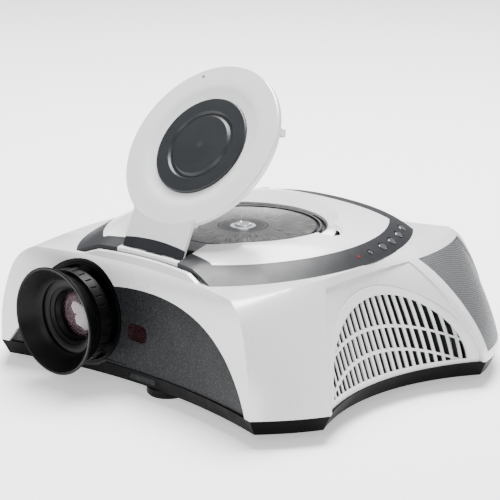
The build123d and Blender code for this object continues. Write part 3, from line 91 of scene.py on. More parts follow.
# ---------------------------------------------------------------- node graphs
class Graph:
    """A material's node graph, with short calls for the nodes that the finishes share."""

    def __init__(self, name: str) -> None:
        """Starts an empty material.

        Args:
            name: the material's name.
        """
        self.material = bpy.data.materials.new(name)
        self.material.use_nodes = True
        self.tree = self.material.node_tree
        self.shader = self.tree.nodes["Principled BSDF"]
        self.coords = self.tree.nodes.new("ShaderNodeTexCoord").outputs["Object"]

    def plug(self, target: Socket, value: object) -> None:
        """Gives an input its value.

        Args:
            target: the input.
            value: another node's output, which is linked, or a number, a vector or a colour.
        """
        if isinstance(value, Socket):
            self.tree.links.new(value, target)
        elif isinstance(value, tuple) and target.type == "RGBA":
            target.default_value = (*value, 1.0)
        else:
            target.default_value = value

    def put(self, socket: str, value: object) -> None:
        """Sets or links one of the shader's own sockets."""
        self.plug(self.shader.inputs[socket], value)

    def node(self, kind: str, **settings: object) -> bpy.types.Node:
        """Adds a node.

        Args:
            kind: its type.
            settings: values of its properties, by name.

        Returns:
            The node.
        """
        made = self.tree.nodes.new(kind)
        for key, value in settings.items():
            setattr(made, key, value)
        return made

    def feed(self, node: bpy.types.Node, **inputs: object) -> bpy.types.Node:
        """Links or sets a node's inputs.

        Args:
            node: the node.
            inputs: values by the input's name, with an underscore for a space, or by its number, as in0.

        Returns:
            The same node.
        """
        for key, value in inputs.items():
            number = key.removeprefix("in")
            chosen = int(number) if number.isdigit() else key.replace("_", " ")
            self.plug(node.inputs[chosen], value)
        return node

    def mapped(self, origin: Vec3 = (0, 0, 0), turn: Vec3 = (0, 0, 0), scale: Vec3 = (1, 1, 1)) -> Socket:
        """Object coordinates seen from a local frame.

        Args:
            origin: where the frame stands.
            turn: its rotation, in degrees.
            scale: its axes' scale.

        Returns:
            The mapped coordinates.
        """
        node = self.node("ShaderNodeMapping", vector_type="TEXTURE")
        angles = tuple(math.radians(angle) for angle in turn)
        return self.feed(node, Vector=self.coords, Location=origin, Rotation=angles, Scale=scale).outputs[0]

    def axes(self, vector: Socket | None = None) -> tuple[Socket, ...]:
        """The X, Y and Z of a vector, or of the object's coordinates where none is given."""
        return tuple(self.feed(self.node("ShaderNodeSeparateXYZ"), in0=vector or self.coords).outputs)

    def noise(self, scale: float, detail: float = 3.0, vector: Socket | None = None) -> Socket:
        """Noise from 0 to 1.

        Args:
            scale: how many cells it has per metre.
            detail: how many finer layers lie on it.
            vector: the place it reads, the object's coordinates where none is given.

        Returns:
            The noise.
        """
        node = self.node("ShaderNodeTexNoise")
        return self.feed(node, Vector=vector or self.coords, Scale=scale, Detail=detail).outputs[0]

    def math(self, operation: str, a: object, b: object = 0.0) -> Socket:
        """One arithmetic step on one or two values."""
        return self.feed(self.node("ShaderNodeMath", operation=operation), in0=a, in1=b).outputs[0]

    def remap(self, value: Socket, given: Span, wanted: Span = WHOLE) -> Socket:
        """Carries one span of values onto another, held at both ends.

        Args:
            value: the value.
            given: the span it comes in.
            wanted: the span it goes out in.

        Returns:
            The value in its new span.
        """
        node = self.node("ShaderNodeMapRange")
        self.feed(node, Value=value, From_Min=given[0], From_Max=given[1])
        return self.feed(node, To_Min=wanted[0], To_Max=wanted[1]).outputs[0]

    def wander(self, scale: float, wanted: Span = WHOLE, detail: float = 3.0) -> Socket:
        """A value that wanders with noise from end to end of a span.

        Args:
            scale: how many cells the noise has per metre.
            wanted: the span.
            detail: how many finer layers lie on the noise.

        Returns:
            The value.
        """
        return self.remap(self.noise(scale, detail), NOISE_CORE, wanted)

    def blend(self, share: Socket, first: object, second: object) -> Socket:
        """Colour between first and second by a share from 0 to 1."""
        node = self.node("ShaderNodeMix", data_type="RGBA")
        return self.feed(node, in0=share, in6=first, in7=second).outputs[2]

    def ramp(self, value: Socket, stops: Stops, hard: bool = False) -> Socket:
        """Colour by position along a ramp.

        Args:
            value: the position, from 0 to 1.
            stops: places on the ramp with their colours.
            hard: whether a colour holds until the next stop.

        Returns:
            The colour.
        """
        node = self.node("ShaderNodeValToRGB")
        band = node.color_ramp
        band.interpolation = "CONSTANT" if hard else "LINEAR"
        while len(band.elements) < len(stops):
            band.elements.new(0.5)
        for element, (position, colour) in zip(band.elements, stops):
            element.position = position
            element.color = (*colour, 1.0)
        return self.feed(node, in0=value).outputs[0]

    def bump(self, height: Socket, strength: float, distance: float) -> None:
        """Tilts the surface by a height.

        Args:
            height: the height, from 0 to 1.
            strength: the share of the effect.
            distance: the real height of 1.
        """
        node = self.feed(self.node("ShaderNodeBump"), Height=height, Strength=strength, Distance=distance)
        self.put("Normal", node.outputs[0])

    def polynomial(self, rows: tuple[tuple[float, ...], ...], a: Socket, b: Socket) -> Socket:
        """The sum of rows[i][j] * a**i * b**j, by nested products.

        Args:
            rows: the factors.
            a: the first value.
            b: the second value.

        Returns:
            The sum.
        """
        total: object = 0.0
        for row in reversed(rows):
            line: object = 0.0
            for factor in reversed(row):
                line = self.math("ADD", self.math("MULTIPLY", line, b), factor)
            total = self.math("ADD", self.math("MULTIPLY", total, a), line)
        return total

    def length(self, a: Socket, b: Socket) -> Socket:
        """The root of a * a + b * b."""
        return self.math("SQRT", self.math("ADD", self.math("MULTIPLY", a, a), self.math("MULTIPLY", b, b)))


# ---------------------------------------------------------------- finishes
class Finish(Protocol):
    """What every finish can do."""

    def make(self, name: str) -> bpy.types.Material:
        """Builds the material."""


@dataclass(frozen=True)
class Moulding:
    """Moulded or painted plastic with slight tone, gloss and surface variation.

    Attributes:
        colour: its main colour.
        roughness: its mean roughness.
        coat: weight of a clear coat.
        grain: size of the surface grain.
        depth: height of the grain.
        tone: how far the colour drifts.
        metallic: share of metal in the paint.
        specular: strength of its plain reflection.
    """

    colour: Colour
    roughness: float = 0.35
    coat: float = 0.0
    grain: float = 0.0008
    depth: float = 0.00002
    tone: float = 0.04
    metallic: float = 0.0
    specular: float = 0.5

    def make(self, name: str) -> bpy.types.Material:
        """Builds the material.

        Args:
            name: the material's name.

        Returns:
            The material.
        """
        g = Graph(name)
        drift = g.remap(g.noise(scale=9.0, detail=2.0), (0.35, 0.65))
        dark, light = shade(self.colour, 1 - self.tone), shade(self.colour, 1 + self.tone)
        wear = (self.roughness * 0.85, min(1.0, self.roughness * 1.15))
        g.put("Base Color", g.blend(drift, dark, light))
        g.put("Roughness", g.wander(scale=60.0, wanted=wear, detail=4.0))
        g.put("Metallic", self.metallic)
        g.put("Specular IOR Level", self.specular)
        g.put("Coat Weight", self.coat)
        g.put("Coat Roughness", 0.12)
        g.bump(g.noise(scale=1.0 / self.grain, detail=2.0), strength=0.6, distance=self.depth)
        return g.material


@dataclass(frozen=True)
class FleckedPaint:
    """Dark paint with fine bright flakes, as on the front panel.

    Attributes:
        colour: the ground.
        flake: the flakes' colour.
        share: how much of the ground they cover.
        flake_size: their size.
    """

    colour: Colour
    flake: Colour
    share: float = 0.3
    flake_size: float = 0.0005

    def make(self, name: str) -> bpy.types.Material:
        """Builds the material.

        Args:
            name: the material's name.

        Returns:
            The material.
        """
        g = Graph(name)
        cells = g.feed(g.node("ShaderNodeTexVoronoi"), Vector=g.coords, Scale=1.0 / self.flake_size)
        draw = g.feed(g.node("ShaderNodeSeparateColor"), in0=cells.outputs["Color"]).outputs[0]
        lit = g.remap(draw, (1.0 - self.share, 1.0))
        g.put("Base Color", g.blend(lit, self.colour, self.flake))
        g.put("Metallic", 0.1)
        g.put("Specular IOR Level", 0.16)
        g.put("Roughness", g.wander(scale=40.0, wanted=(0.40, 0.50)))
        g.bump(g.noise(scale=900.0), strength=0.3, distance=0.00002)
        return g.material


# The housing's side face stands where |x| is the sum of SIDE_FACE[i][j] * y**i * z**j, with every length in
# units of which SIDE_UNITS make a metre. It is concave along the side and leans inwards as it rises.
SIDE_UNITS = 10.0
SIDE_FACE = (
    (1.6521, -0.38658, -0.03309),
    (0.11815, 0.26952, -0.35269),
    (0.24354, 0.54678, -0.56919),
)


@dataclass(frozen=True)
class GrilleWithPaintedShade:
    """Light moulding with painted shade in its slots: its colour turns dark below its face.

    The depth is the side face's |x| less that of the point.

    Attributes:
        colour: the face's colour.
        inside: the colour of the painted shade inside the slots.
        start: depth at which the painted shade starts.
        end: depth at which the painted shade is full.
    """

    colour: Colour
    inside: Colour
    start: float = 0.0034
    end: float = 0.0046

    def make(self, name: str) -> bpy.types.Material:
        """Builds the material.

        Args:
            name: the material's name.

        Returns:
            The material.
        """
        g = Graph(name)
        across, along, up = (g.math("MULTIPLY", part, SIDE_UNITS) for part in g.axes())
        depth = g.math("SUBTRACT", g.polynomial(SIDE_FACE, along, up), g.math("ABSOLUTE", across))
        # Painted shade: darker with depth below the side face, standing in for the shade deep in the slots.
        dark = g.remap(depth, (self.start * SIDE_UNITS, self.end * SIDE_UNITS))
        tone = g.blend(g.noise(scale=12.0), shade(self.colour, 0.97), self.colour)
        g.put("Base Color", g.blend(dark, tone, self.inside))
        g.put("Roughness", g.wander(scale=60.0, wanted=(0.32, 0.42), detail=4.0))
        g.put("Coat Weight", 0.15)
        g.bump(g.noise(scale=1400.0, detail=2.0), strength=0.5, distance=0.000015)
        return g.material


@dataclass(frozen=True)
class BandPaint:
    """Dark satin band with the white of the cover in front of the lid's arm.

    Attributes:
        colour: the band's colour.
        white: the colour in front of the arm.
        half: half the arm's width.
        front: the patch reaches forward from this place along Y.
    """

    colour: Colour
    white: Colour
    half: float = 0.0329
    front: float = -0.085

    def make(self, name: str) -> bpy.types.Material:
        """Builds the material.

        Args:
            name: the material's name.

        Returns:
            The material.
        """
        g = Graph(name)
        across, along, _ = g.axes()
        beside = g.math("LESS_THAN", g.math("ABSOLUTE", across), self.half)
        patch = g.math("MULTIPLY", beside, g.math("LESS_THAN", along, self.front))
        tone = g.blend(g.noise(scale=14.0), shade(self.colour, 0.94), self.colour)
        g.put("Base Color", g.blend(patch, tone, self.white))
        g.put("Roughness", g.wander(scale=60.0, wanted=(0.34, 0.44), detail=4.0))
        g.put("Specular IOR Level", 0.3)
        g.bump(g.noise(scale=1900.0, detail=2.0), strength=0.5, distance=0.00002)
        return g.material


@dataclass(frozen=True)
class PerforatedSheet:
    """Thin metal with a fine staggered grid of holes: two plain grids, half a step apart both ways.

    Attributes:
        colour: the metal's paint.
        pitch: hole to hole.
        turn: the sheet's lean and its heading about Z, in degrees.
        hole: the colour inside a hole.
        rim: where a hole's soft edge starts and ends, in pitches from its middle.
    """

    colour: Colour
    pitch: float
    turn: Vec3
    hole: Colour = (0.03, 0.03, 0.032)
    rim: Span = (0.24, 0.34)

    def away(self, g: Graph, x: Socket, z: Socket, shift: float) -> Socket:
        """Distance to the nearest hole of one grid, which steps 1 pitch along X and the root of 3 along Z.

        Args:
            g: the material's graph.
            x: place along the sheet.
            z: place up the sheet.
            shift: how many steps the grid is moved both ways.

        Returns:
            The distance, in pitches.
        """
        offsets = []
        for value, step in ((x, 1.0), (z, math.sqrt(3))):
            steps = g.math("ADD", g.math("DIVIDE", value, self.pitch * step), shift)
            offsets.append(g.math("MULTIPLY", g.math("PINGPONG", steps, 0.5), step))
        return g.length(*offsets)

    def make(self, name: str) -> bpy.types.Material:
        """Builds the material.

        Args:
            name: the material's name.

        Returns:
            The material.
        """
        g = Graph(name)
        x, _, z = g.axes(g.mapped(turn=self.turn))
        nearest = g.math("MINIMUM", self.away(g, x, z, 0.0), self.away(g, x, z, 0.5))
        solid = g.remap(nearest, self.rim)
        tone = g.blend(g.wander(scale=14.0), shade(self.colour, 0.93), self.colour)
        g.put("Base Color", g.blend(solid, self.hole, tone))
        g.put("Metallic", 0.55)
        g.put("Roughness", g.remap(solid, WHOLE, (0.8, 0.42)))
        g.bump(solid, strength=0.8, distance=0.0003)
        return g.material


@dataclass(frozen=True)
class Metal:
    """Bare metal with a brushed or cast grain.

    Attributes:
        colour: its colour.
        roughness: its mean roughness.
        stretch: how far the grain is drawn out along X, Y and Z.
        grain: how many grains it has per metre.
    """

    colour: Colour
    roughness: float = 0.3
    stretch: Vec3 = (1.0, 1.0, 1.0)
    grain: float = 1200.0

    def make(self, name: str) -> bpy.types.Material:
        """Builds the material.

        Args:
            name: the material's name.

        Returns:
            The material.
        """
        g = Graph(name)
        lines = g.noise(self.grain, vector=g.mapped(scale=self.stretch))
        g.put("Base Color", g.blend(lines, shade(self.colour, 0.88), self.colour))
        g.put("Metallic", 1.0)
        g.put("Roughness", g.remap(lines, (0.2, 0.8), (self.roughness * 0.8, self.roughness * 1.3)))
        g.bump(lines, strength=0.25, distance=0.00003)
        return g.material


@dataclass(frozen=True)
class DiscPrint:
    """A printed disc: silver ring with fine radial streaks, a dark inner ring and a clear hub.

    Attributes:
        centre: the disc's centre.
        radius: the disc's radius.
        spokes: how close the streaks stand round the disc.
        drift: how fast a streak changes on its way out, per metre.
        streaks: the print's colours along its noise.
        printed: share of print by distance from the centre, in radii.
        hub: the bare colours by distance from the centre, in radii.
    """

    centre: Vec3
    radius: float = 0.060
    spokes: float = 16.0
    drift: float = 30.0
    streaks: Stops = (
        (0.32, grey(0.02)),
        (0.52, (0.07, 0.07, 0.068)),
        (0.66, (0.20, 0.20, 0.19)),
        (0.80, (0.50, 0.50, 0.48)),
    )
    printed: Stops = ((0.0, grey(0.0)), (0.39, grey(1.0)), (0.975, grey(0.15)))
    hub: Stops = (
        (0.0, (0.42, 0.43, 0.45)),
        (0.17, (0.012, 0.012, 0.013)),
        (0.29, (0.05, 0.05, 0.052)),
        (0.31, (0.010, 0.010, 0.011)),
        (0.36, grey(0.20)),
        (0.375, grey(0.02)),
    )

    def make(self, name: str) -> bpy.types.Material:
        """Builds the material from the distance to the centre and the angle about it.

        Args:
            name: the material's name.

        Returns:
            The material.
        """
        g = Graph(name)
        x, y, _ = g.axes(g.mapped(self.centre))
        away = g.length(x, y)
        round_way = g.math("MULTIPLY", g.math("ARCTAN2", y, x), self.spokes)
        out_way = g.math("MULTIPLY", away, self.drift)
        polar = g.feed(g.node("ShaderNodeCombineXYZ"), in0=round_way, in1=out_way, in2=0.0).outputs[0]
        streak = g.noise(scale=2.6, detail=6.0, vector=polar)
        zones = g.remap(away, (0.0, self.radius))
        mask = g.ramp(zones, self.printed, hard=True)
        bare = g.ramp(zones, self.hub, hard=True)
        g.put("Base Color", g.blend(mask, bare, g.ramp(streak, self.streaks)))
        g.put("Metallic", 0.45)
        g.put("Roughness", g.remap(streak, NOISE_CORE, (0.26, 0.38)))
        g.put("Specular IOR Level", 0.35)
        return g.material


@dataclass(frozen=True)
class CoatedGlass:
    """Optical glass with a coloured coating that shows towards its rim.

    Attributes:
        colour: seen straight on.
        rim: seen at a slant.
        clear: share of light let through.
    """

    colour: Colour
    rim: Colour
    clear: float = 0.8

    def make(self, name: str) -> bpy.types.Material:
        """Builds the material.

        Args:
            name: the material's name.

        Returns:
            The material.
        """
        g = Graph(name)
        slant = g.feed(g.node("ShaderNodeLayerWeight"), Blend=0.35).outputs["Facing"]
        g.put("Base Color", g.blend(slant, self.colour, self.rim))
        g.put("Transmission Weight", self.clear)
        g.put("IOR", 1.52)
        g.put("Roughness", g.wander(scale=25.0, wanted=(0.01, 0.03)))
        g.put("Coat Weight", 1.0)
        g.put("Coat Roughness", 0.02)
        return g.material


@dataclass(frozen=True)
class CircuitBoard:
    """Green board with fine raised tracks.

    Attributes:
        colour: the board's colour.
        track: the tracks' colour.
        cells: how many cells between tracks it has per metre.
    """

    colour: Colour = (0.02, 0.11, 0.05)
    track: Colour = (0.06, 0.24, 0.11)
    cells: float = 260.0

    def make(self, name: str) -> bpy.types.Material:
        """Builds the material.

        Args:
            name: the material's name.

        Returns:
            The material.
        """
        g = Graph(name)
        edges = g.node("ShaderNodeTexVoronoi", feature="DISTANCE_TO_EDGE", distance="EUCLIDEAN")
        distance = g.feed(edges, Vector=g.coords, Scale=self.cells).outputs[0]
        line = g.remap(distance, (0.02, 0.06), (1.0, 0.0))
        g.put("Base Color", g.blend(line, self.colour, self.track))
        g.put("Roughness", g.wander(scale=30.0, wanted=(0.35, 0.5)))
        g.bump(line, strength=0.3, distance=0.00004)
        return g.material


class Slot(Enum):
    """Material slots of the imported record."""

    WHITE_GLOSS = "white_gloss"
    WHITE_DECK = "white_deck"
    GREY_BAND = "grey_band"
    DARK_GREY = "dark_grey"
    BLACK = "black"
    GRILLE_GREY = "grille_grey"
    MESH_GREY = "mesh_grey"
    SILVER = "silver"
    STEEL = "steel"
    RUBBER = "rubber"
    CLEAR_GLASS = "clear_glass"
    RED_WINDOW = "red_window"
    POWER_RED = "power_red"
    KEY_SILVER = "key_silver"
    DISC_MIRROR = "disc_mirror"
    WELL_GREY = "well_grey"
    BOARD_GREEN = "board_green"
    BRASS = "brass"
    LIGHT_METAL = "light_metal"


PEARL_WHITE: Colour = (0.72, 0.722, 0.72)
BAND_GREY: Colour = (0.014, 0.015, 0.017)
SPEAKER_HEADING = 53.0
SPEAKER_LEAN = -22.0
DISC_CENTRE: Vec3 = (0.0, -0.004, 0.113)

PEARL = Moulding(
    PEARL_WHITE, roughness=0.30, coat=0.5, grain=0.0010, depth=0.000010, tone=0.010, metallic=0.10
)
FINISHES: dict[Slot, Finish] = {
    Slot.WHITE_GLOSS: PEARL,
    Slot.WHITE_DECK: Moulding(
        (0.87, 0.87, 0.865), roughness=0.26, coat=0.5, grain=0.0012, depth=0.00001, tone=0.01
    ),
    Slot.GREY_BAND: BandPaint(BAND_GREY, PEARL_WHITE),
    Slot.DARK_GREY: FleckedPaint((0.008, 0.009, 0.010), (0.038, 0.040, 0.043), share=0.35),
    Slot.BLACK: Moulding(
        (0.0022, 0.0022, 0.0026), roughness=0.38, grain=0.0006, depth=0.00002, tone=0.08, specular=0.13
    ),
    # The side grilles, with painted shade deep in their slots.
    Slot.GRILLE_GREY: GrilleWithPaintedShade((0.74, 0.742, 0.74), (0.012, 0.012, 0.013)),
    Slot.MESH_GREY: PerforatedSheet(
        (0.19, 0.195, 0.20), pitch=0.0010, turn=(SPEAKER_LEAN, 0.0, -SPEAKER_HEADING)
    ),
    Slot.SILVER: Metal((0.62, 0.63, 0.65), roughness=0.28),
    Slot.STEEL: Metal((0.52, 0.53, 0.55), stretch=(0.05, 1.0, 1.0)),
    Slot.RUBBER: Moulding(grey(0.012), roughness=0.85, grain=0.0009, depth=0.00008, tone=0.1),
    Slot.CLEAR_GLASS: CoatedGlass((0.90, 0.94, 0.96), (0.45, 0.30, 0.65), clear=0.95),
    Slot.RED_WINDOW: Moulding(
        (0.012, 0.004, 0.005), roughness=0.08, coat=1.0, grain=0.002, depth=0.000004, tone=0.02
    ),
    Slot.POWER_RED: Moulding(
        (0.10, 0.018, 0.014), roughness=0.22, coat=0.6, grain=0.0008, depth=0.00001, tone=0.05
    ),
    Slot.KEY_SILVER: Moulding(
        (0.050, 0.053, 0.056), roughness=0.24, coat=0.6, grain=0.0006, depth=0.00001, tone=0.05
    ),
    Slot.DISC_MIRROR: DiscPrint(DISC_CENTRE),
    Slot.WELL_GREY: Moulding(
        (0.030, 0.031, 0.033), roughness=0.4, coat=0.1, grain=0.0006, depth=0.00002, tone=0.06
    ),
    Slot.BOARD_GREEN: CircuitBoard(),
    Slot.BRASS: Metal((0.78, 0.60, 0.28), roughness=0.25),
    Slot.LIGHT_METAL: Metal((0.50, 0.51, 0.53), roughness=0.45, grain=500.0),
}

# Solids whose finish differs from that of their slot.
SPECIAL: dict[str, Finish] = {
    "front_glass": CoatedGlass((0.30, 0.22, 0.20), (0.20, 0.08, 0.22), clear=0.85),
    "lid_plate": Moulding(
        (0.016, 0.018, 0.020), roughness=0.34, grain=0.0008, depth=0.00001, tone=0.05, specular=0.35
    ),
    "lid_hook": PEARL,
    "arm_trim": Moulding(
        BAND_GREY, roughness=0.38, grain=0.0005, depth=0.00002, tone=0.05, specular=0.3
    ),
    "base_tray": Moulding(
        (0.0012, 0.0012, 0.0014), roughness=0.46, grain=0.0006, depth=0.00003, tone=0.08, specular=0.05
    ),
    "lamp_reflector": Metal((0.75, 0.76, 0.78), roughness=0.12),
}


# ---------------------------------------------------------------- meshes
def place(
    name: str, points: np.ndarray, faces: Faces, finish: bpy.types.Material, smooth: bool = True
) -> bpy.types.Object:
    """Makes a mesh object at the origin.

    Args:
        name: the piece's name.
        points: its vertices.
        faces: its faces.
        finish: its material.
        smooth: whether its faces shade smoothly.

    Returns:
        The object.
    """
    mesh = bpy.data.meshes.new(name)
    mesh.from_pydata(points.tolist(), [], faces)
    mesh.polygons.foreach_set("use_smooth", [smooth] * len(mesh.polygons))
    mesh.materials.append(finish)
    mesh.update()
    piece = bpy.data.objects.new(name, mesh)
    bpy.context.scene.collection.objects.link(piece)
    LOG.info("made %s", name)
    return piece


def grid_faces(rows: int, columns: int, closed: bool) -> Faces:
    """Quads of a grid of points.

    Args:
        rows: how many rows of points it has.
        columns: how many points a row has.
        closed: whether the grid closes on itself both ways.

    Returns:
        The faces.
    """
    r = np.arange(rows if closed else rows - 1)
    c = np.arange(columns if closed else columns - 1)
    rr, cc = np.meshgrid(r, c, indexing="ij")
    r2, c2 = (rr + 1) % rows, (cc + 1) % columns
    quads = np.stack([rr * columns + cc, r2 * columns + cc, r2 * columns + c2, rr * columns + c2], axis=-1)
    return [tuple(quad) for quad in quads.reshape(-1, 4).tolist()]


def turned(profile: list[Span], origin: Vec3, axis: Vec3, steps: int = 96) -> tuple[np.ndarray, Faces]:
    """A closed profile turned about an axis.

    The point at angle t and profile (r, h) is origin + h * axis + r * (cos t * u + sin t * v), with u and v
    square to the axis.

    Args:
        profile: closed run of (radius, height).
        origin: a point on the axis.
        axis: its unit direction, which isn't upright.
        steps: how many steps round.

    Returns:
        The points and the faces.
    """
    n = np.array(axis, float)
    u = np.cross(n, (0.0, 0.0, 1.0))
    u /= np.linalg.norm(u)
    v = np.cross(n, u)
    t = np.linspace(0, 2 * np.pi, steps, endpoint=False)
    r, h = np.array(profile, float).T
    ring = np.cos(t)[:, None, None] * u + np.sin(t)[:, None, None] * v
    points = np.array(origin) + h[None, :, None] * n + r[None, :, None] * ring
    return points.reshape(-1, 3), grid_faces(steps, len(profile), closed=True)


def side_face(y: np.ndarray, z: np.ndarray) -> np.ndarray:
    """Where the housing's side face stands.

    The place is the sum of SIDE_FACE[i][j] * y**i * z**j, in the units that SIDE_UNITS gives.

    Args:
        y: places along the side.
        z: heights above the table.

    Returns:
        Its distance from the middle plane.
    """
    rows = enumerate(SIDE_FACE)
    terms = ((factor, i, j) for i, row in rows for j, factor in enumerate(row))
    return sum(f * (SIDE_UNITS * y) ** i * (SIDE_UNITS * z) ** j for f, i, j in terms) / SIDE_UNITS


def smooth_solid(node: bpy.types.Object, angle: float = 28.0, weld_gap: float = 0.000002) -> None:
    """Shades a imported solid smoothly: its loose triangles are welded and split again at the sharp edges.

    Args:
        node: the solid.
        angle: edges that bend more than this stay sharp, in degrees.
        weld_gap: points closer than this become one.
    """
    node.data.polygons.foreach_set("use_smooth", [True] * len(node.data.polygons))
    weld = node.modifiers.new("weld", "WELD")
    weld.merge_threshold = weld_gap
    split = node.modifiers.new("edges", "EDGE_SPLIT")
    split.split_angle = math.radians(angle)
    split.use_edge_sharp = False


# ---------------------------------------------------------------- sub-assemblies
@dataclass
class Solids:
    """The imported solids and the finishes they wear.

    Attributes:
        frame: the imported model.
        made: the materials of the slots, as they are made.
    """

    frame: dict
    made: dict[str, bpy.types.Material] = field(default_factory=dict)

    def finish(self, slot: Slot) -> bpy.types.Material:
        """The material of a slot, made once.

        Args:
            slot: the slot.

        Returns:
            Its material.
        """
        if slot.value not in self.made:
            self.made[slot.value] = FINISHES[slot].make(slot.value)
        return self.made[slot.value]

    def dress(self) -> None:
        """Gives each solid its finish and smooth shading."""
        slots = {row["node"]: row.get("material_slot") for row in self.frame["record"]["subparts"]}
        for name, node in self.frame["nodes"].items():
            material = SPECIAL[name].make(name) if name in SPECIAL else self.finish(Slot(slots[name]))
            node.data.materials.clear()
            node.data.materials.append(material)
            smooth_solid(node)
            LOG.info("dressed %s", name)


@dataclass
class LensTrim:
    """Stepped rings inside the lens, in front of its glass.

    Attributes:
        axis_x: the lens axis along X.
        axis_z: the lens axis above the table.
        front_y: the place along Y that the rings' depths are measured from.
        wall: width and depth of a ring's section.
        rings: radius and depth of each ring, in millimetres.
    """

    axis_x: float = -58.6 * MM
    axis_z: float = 56.6 * MM
    front_y: float = -142.6 * MM
    wall: float = 0.5 * MM
    rings: tuple[Span, ...] = ((26.5, 2.0), (24.5, 4.0), (22.4, 6.2), (20.6, 8.2))

    def build(self, solids: Solids) -> None:
        """Makes the rings, each a square section turned about the lens axis.

        Args:
            solids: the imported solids, whose finishes they share.
        """
        black = solids.finish(Slot.BLACK)
        for number, (radius, depth) in enumerate(self.rings, start=1):
            r, d, w = radius * MM, depth * MM, self.wall
            profile = [(r, d), (r, d + w), (r - w, d + w), (r - w, d)]
            points, faces = turned(profile, (self.axis_x, self.front_y, self.axis_z), (0, 1, 0))
            piece = place(f"lens_step_{number}", points, faces, black, smooth=False)
            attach(piece, "housing")


@dataclass
class ShadeScreen:
    """Black sheet behind each side grille: painted shade, standing in for the shade behind its slots.

    Attributes:
        depth: how far it lies behind the grille's face.
        low: its lower edge above the table.
        rise: its height in the middle.
        middle: its middle along Y.
        half: half its length.
        reach: the share of that half at which it is cut off.
        shoulder: how square its arch is at the shoulders.
        crown: how full its arch is towards the middle.
        columns: how many points it has along its length.
        rows: how many points it has up its height.
        wall: its thickness.
    """

    depth: float = 0.0112
    low: float = 0.0225
    rise: float = 0.058
    middle: float = -0.012
    half: float = 0.068
    reach: float = 0.97
    shoulder: float = 2.4
    crown: float = 0.6
    columns: int = 41
    rows: int = 21
    wall: float = 0.0004

    def build(self, solids: Solids) -> None:
        """Makes both sheets, each a grid over s along it and t up it.

        Point (s, t) lies at y = middle + s * half and z = low + t * rise * (1 - |s|**shoulder)**crown, and
        depth behind the side face.

        Args:
            solids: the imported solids, whose finishes they share.
        """
        along, up = np.linspace(-self.reach, self.reach, self.columns), np.linspace(0, 1, self.rows)
        s, t = np.meshgrid(along, up, indexing="ij")
        y = self.middle + s * self.half
        z = self.low + t * self.rise * (1 - np.abs(s) ** self.shoulder) ** self.crown
        x = side_face(y, z) - self.depth
        faces = grid_faces(self.columns, self.rows, closed=False)
        flipped = [face[::-1] for face in faces]
        for side, way, quads in (("right", 1, faces), ("left", -1, flipped)):
            points = np.stack([way * x, y, z], axis=-1).reshape(-1, 3)
            # A black sheet of painted shade behind the grille's slots.
            piece = place(f"shade_screen_{side}", points, quads, solids.finish(Slot.RUBBER))
            wall = piece.modifiers.new("wall", "SOLIDIFY")
            wall.thickness = self.wall
            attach(piece, "housing")


@dataclass(frozen=True)
class SoftLight:
    """A soft square light.

    Attributes:
        name: its name.
        spot: where it hangs.
        aim: the point it faces.
        size: its side.
        power: its power, in watts.
    """

    name: str
    spot: Vec3
    aim: Vec3
    size: float
    power: float

    def hang(self) -> None:
        """Adds the light, tilted from straight down and then turned about Z to face its aim."""
        data = bpy.data.lights.new(self.name, "AREA")
        data.size, data.energy = self.size, self.power
        lamp = bpy.data.objects.new(self.name, data)
        lamp.location = self.spot
        way = np.array(self.aim, float) - np.array(self.spot, float)
        tilt = math.acos(-way[2] / np.linalg.norm(way))
        lamp.rotation_euler = (tilt, 0.0, math.atan2(way[1], way[0]) - math.pi / 2)
        bpy.context.scene.collection.objects.link(lamp)


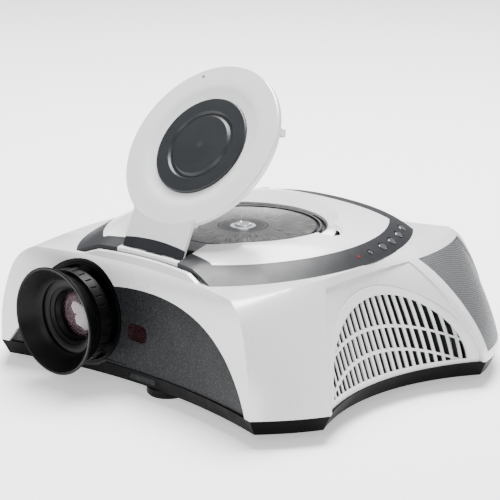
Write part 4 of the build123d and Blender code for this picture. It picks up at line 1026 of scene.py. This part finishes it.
@dataclass
class Studio:
    """Floor, lights and the camera at the photograph's place.

    Attributes:
        azimuth: the camera's heading, in degrees from the object's front towards its right.
        elevation: its angle above the table, in degrees.
        distance: how far it stands from its target.
        target: the point it looks at.
        focal_px: its focal length, in pixels of the photograph.
        centre_px: the photograph's optical centre, in pixels.
        frame_px: width and height of the photograph, in pixels.
        sensor: width of the sensor, in millimetres.
        clip: nearest and farthest thing it sees.
        floor_half: half the floor's side.
        floor_glow: the floor's own light.
        sky: colour of the light from all round.
        sky_strength: strength of that light.
        lights: the lights.
    """

    azimuth: float = 42.23
    elevation: float = 17.31
    distance: float = 1.5046
    target: Vec3 = (0.0, 0.020, 0.0505)
    focal_px: float = 1812.58
    centre_px: tuple[float, float] = (262.97, 293.26)
    frame_px: float = 500.0
    sensor: float = 36.0
    clip: Span = (0.05, 30.0)
    floor_half: float = 6.0
    floor_glow: float = 0.6
    sky: Colour = (0.96, 0.97, 1.0)
    sky_strength: float = 0.42
    lights: tuple[SoftLight, ...] = (
        SoftLight("top", (-0.35, 0.55, 2.1), (0, 0, 0.05), size=1.5, power=190.0),
        SoftLight("front", (0.9, -2.0, 1.1), (0, 0, 0.1), size=1.2, power=22.0),
    )

    def camera(self) -> None:
        """Sets the camera from the measured angles: it stands at target + distance * back, facing -back."""
        a, e = math.radians(self.azimuth), math.radians(self.elevation)
        back = np.array([math.sin(a) * math.cos(e), -math.cos(a) * math.cos(e), math.sin(e)])
        data = bpy.data.cameras.new("camera")
        data.sensor_width = self.sensor
        data.lens = self.focal_px * self.sensor / self.frame_px
        data.shift_x = (self.frame_px / 2 - self.centre_px[0]) / self.frame_px
        data.shift_y = (self.centre_px[1] - self.frame_px / 2) / self.frame_px
        data.clip_start, data.clip_end = self.clip
        eye = bpy.data.objects.new("camera", data)
        eye.location = np.array(self.target) + self.distance * back
        eye.rotation_euler = (math.pi / 2 - e, 0.0, a)
        bpy.context.scene.collection.objects.link(eye)
        bpy.context.scene.camera = eye

    def floor(self) -> None:
        """Lays the pale floor, a square at the table's height."""
        g = Graph("pale_floor")
        g.put("Base Color", grey(0.96))
        g.put("Roughness", 0.9)
        g.put("Specular IOR Level", 0.1)
        g.put("Emission Color", grey(1.0))
        g.put("Emission Strength", self.floor_glow)
        h = self.floor_half
        corners = np.array([(-h, -h, 0), (h, -h, 0), (h, h, 0), (-h, h, 0)], float)
        floor = place("floor", corners, [(0, 1, 2, 3)], g.material, smooth=False)

    def surroundings(self) -> None:
        """Sets the even light from all round."""
        world = bpy.data.worlds.new("world")
        world.use_nodes = True
        colour, strength = world.node_tree.nodes["Background"].inputs[:2]
        colour.default_value = (*self.sky, 1.0)
        strength.default_value = self.sky_strength
        bpy.context.scene.world = world

    def build(self) -> None:
        """Lays the floor, hangs the lights and sets the camera."""
        self.floor()
        self.surroundings()
        for light in self.lights:
            light.hang()
        self.camera()


def main() -> None:
    """Builds the sub-assemblies in order."""
    logging.basicConfig(level=logging.INFO, format="%(name)s: %(message)s")
    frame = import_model()
    solids = Solids(frame)
    solids.dress()
    LensTrim().build(solids)
    ShadeScreen().build(solids)
    Studio().build()


if __name__ == "__main__":
    main()
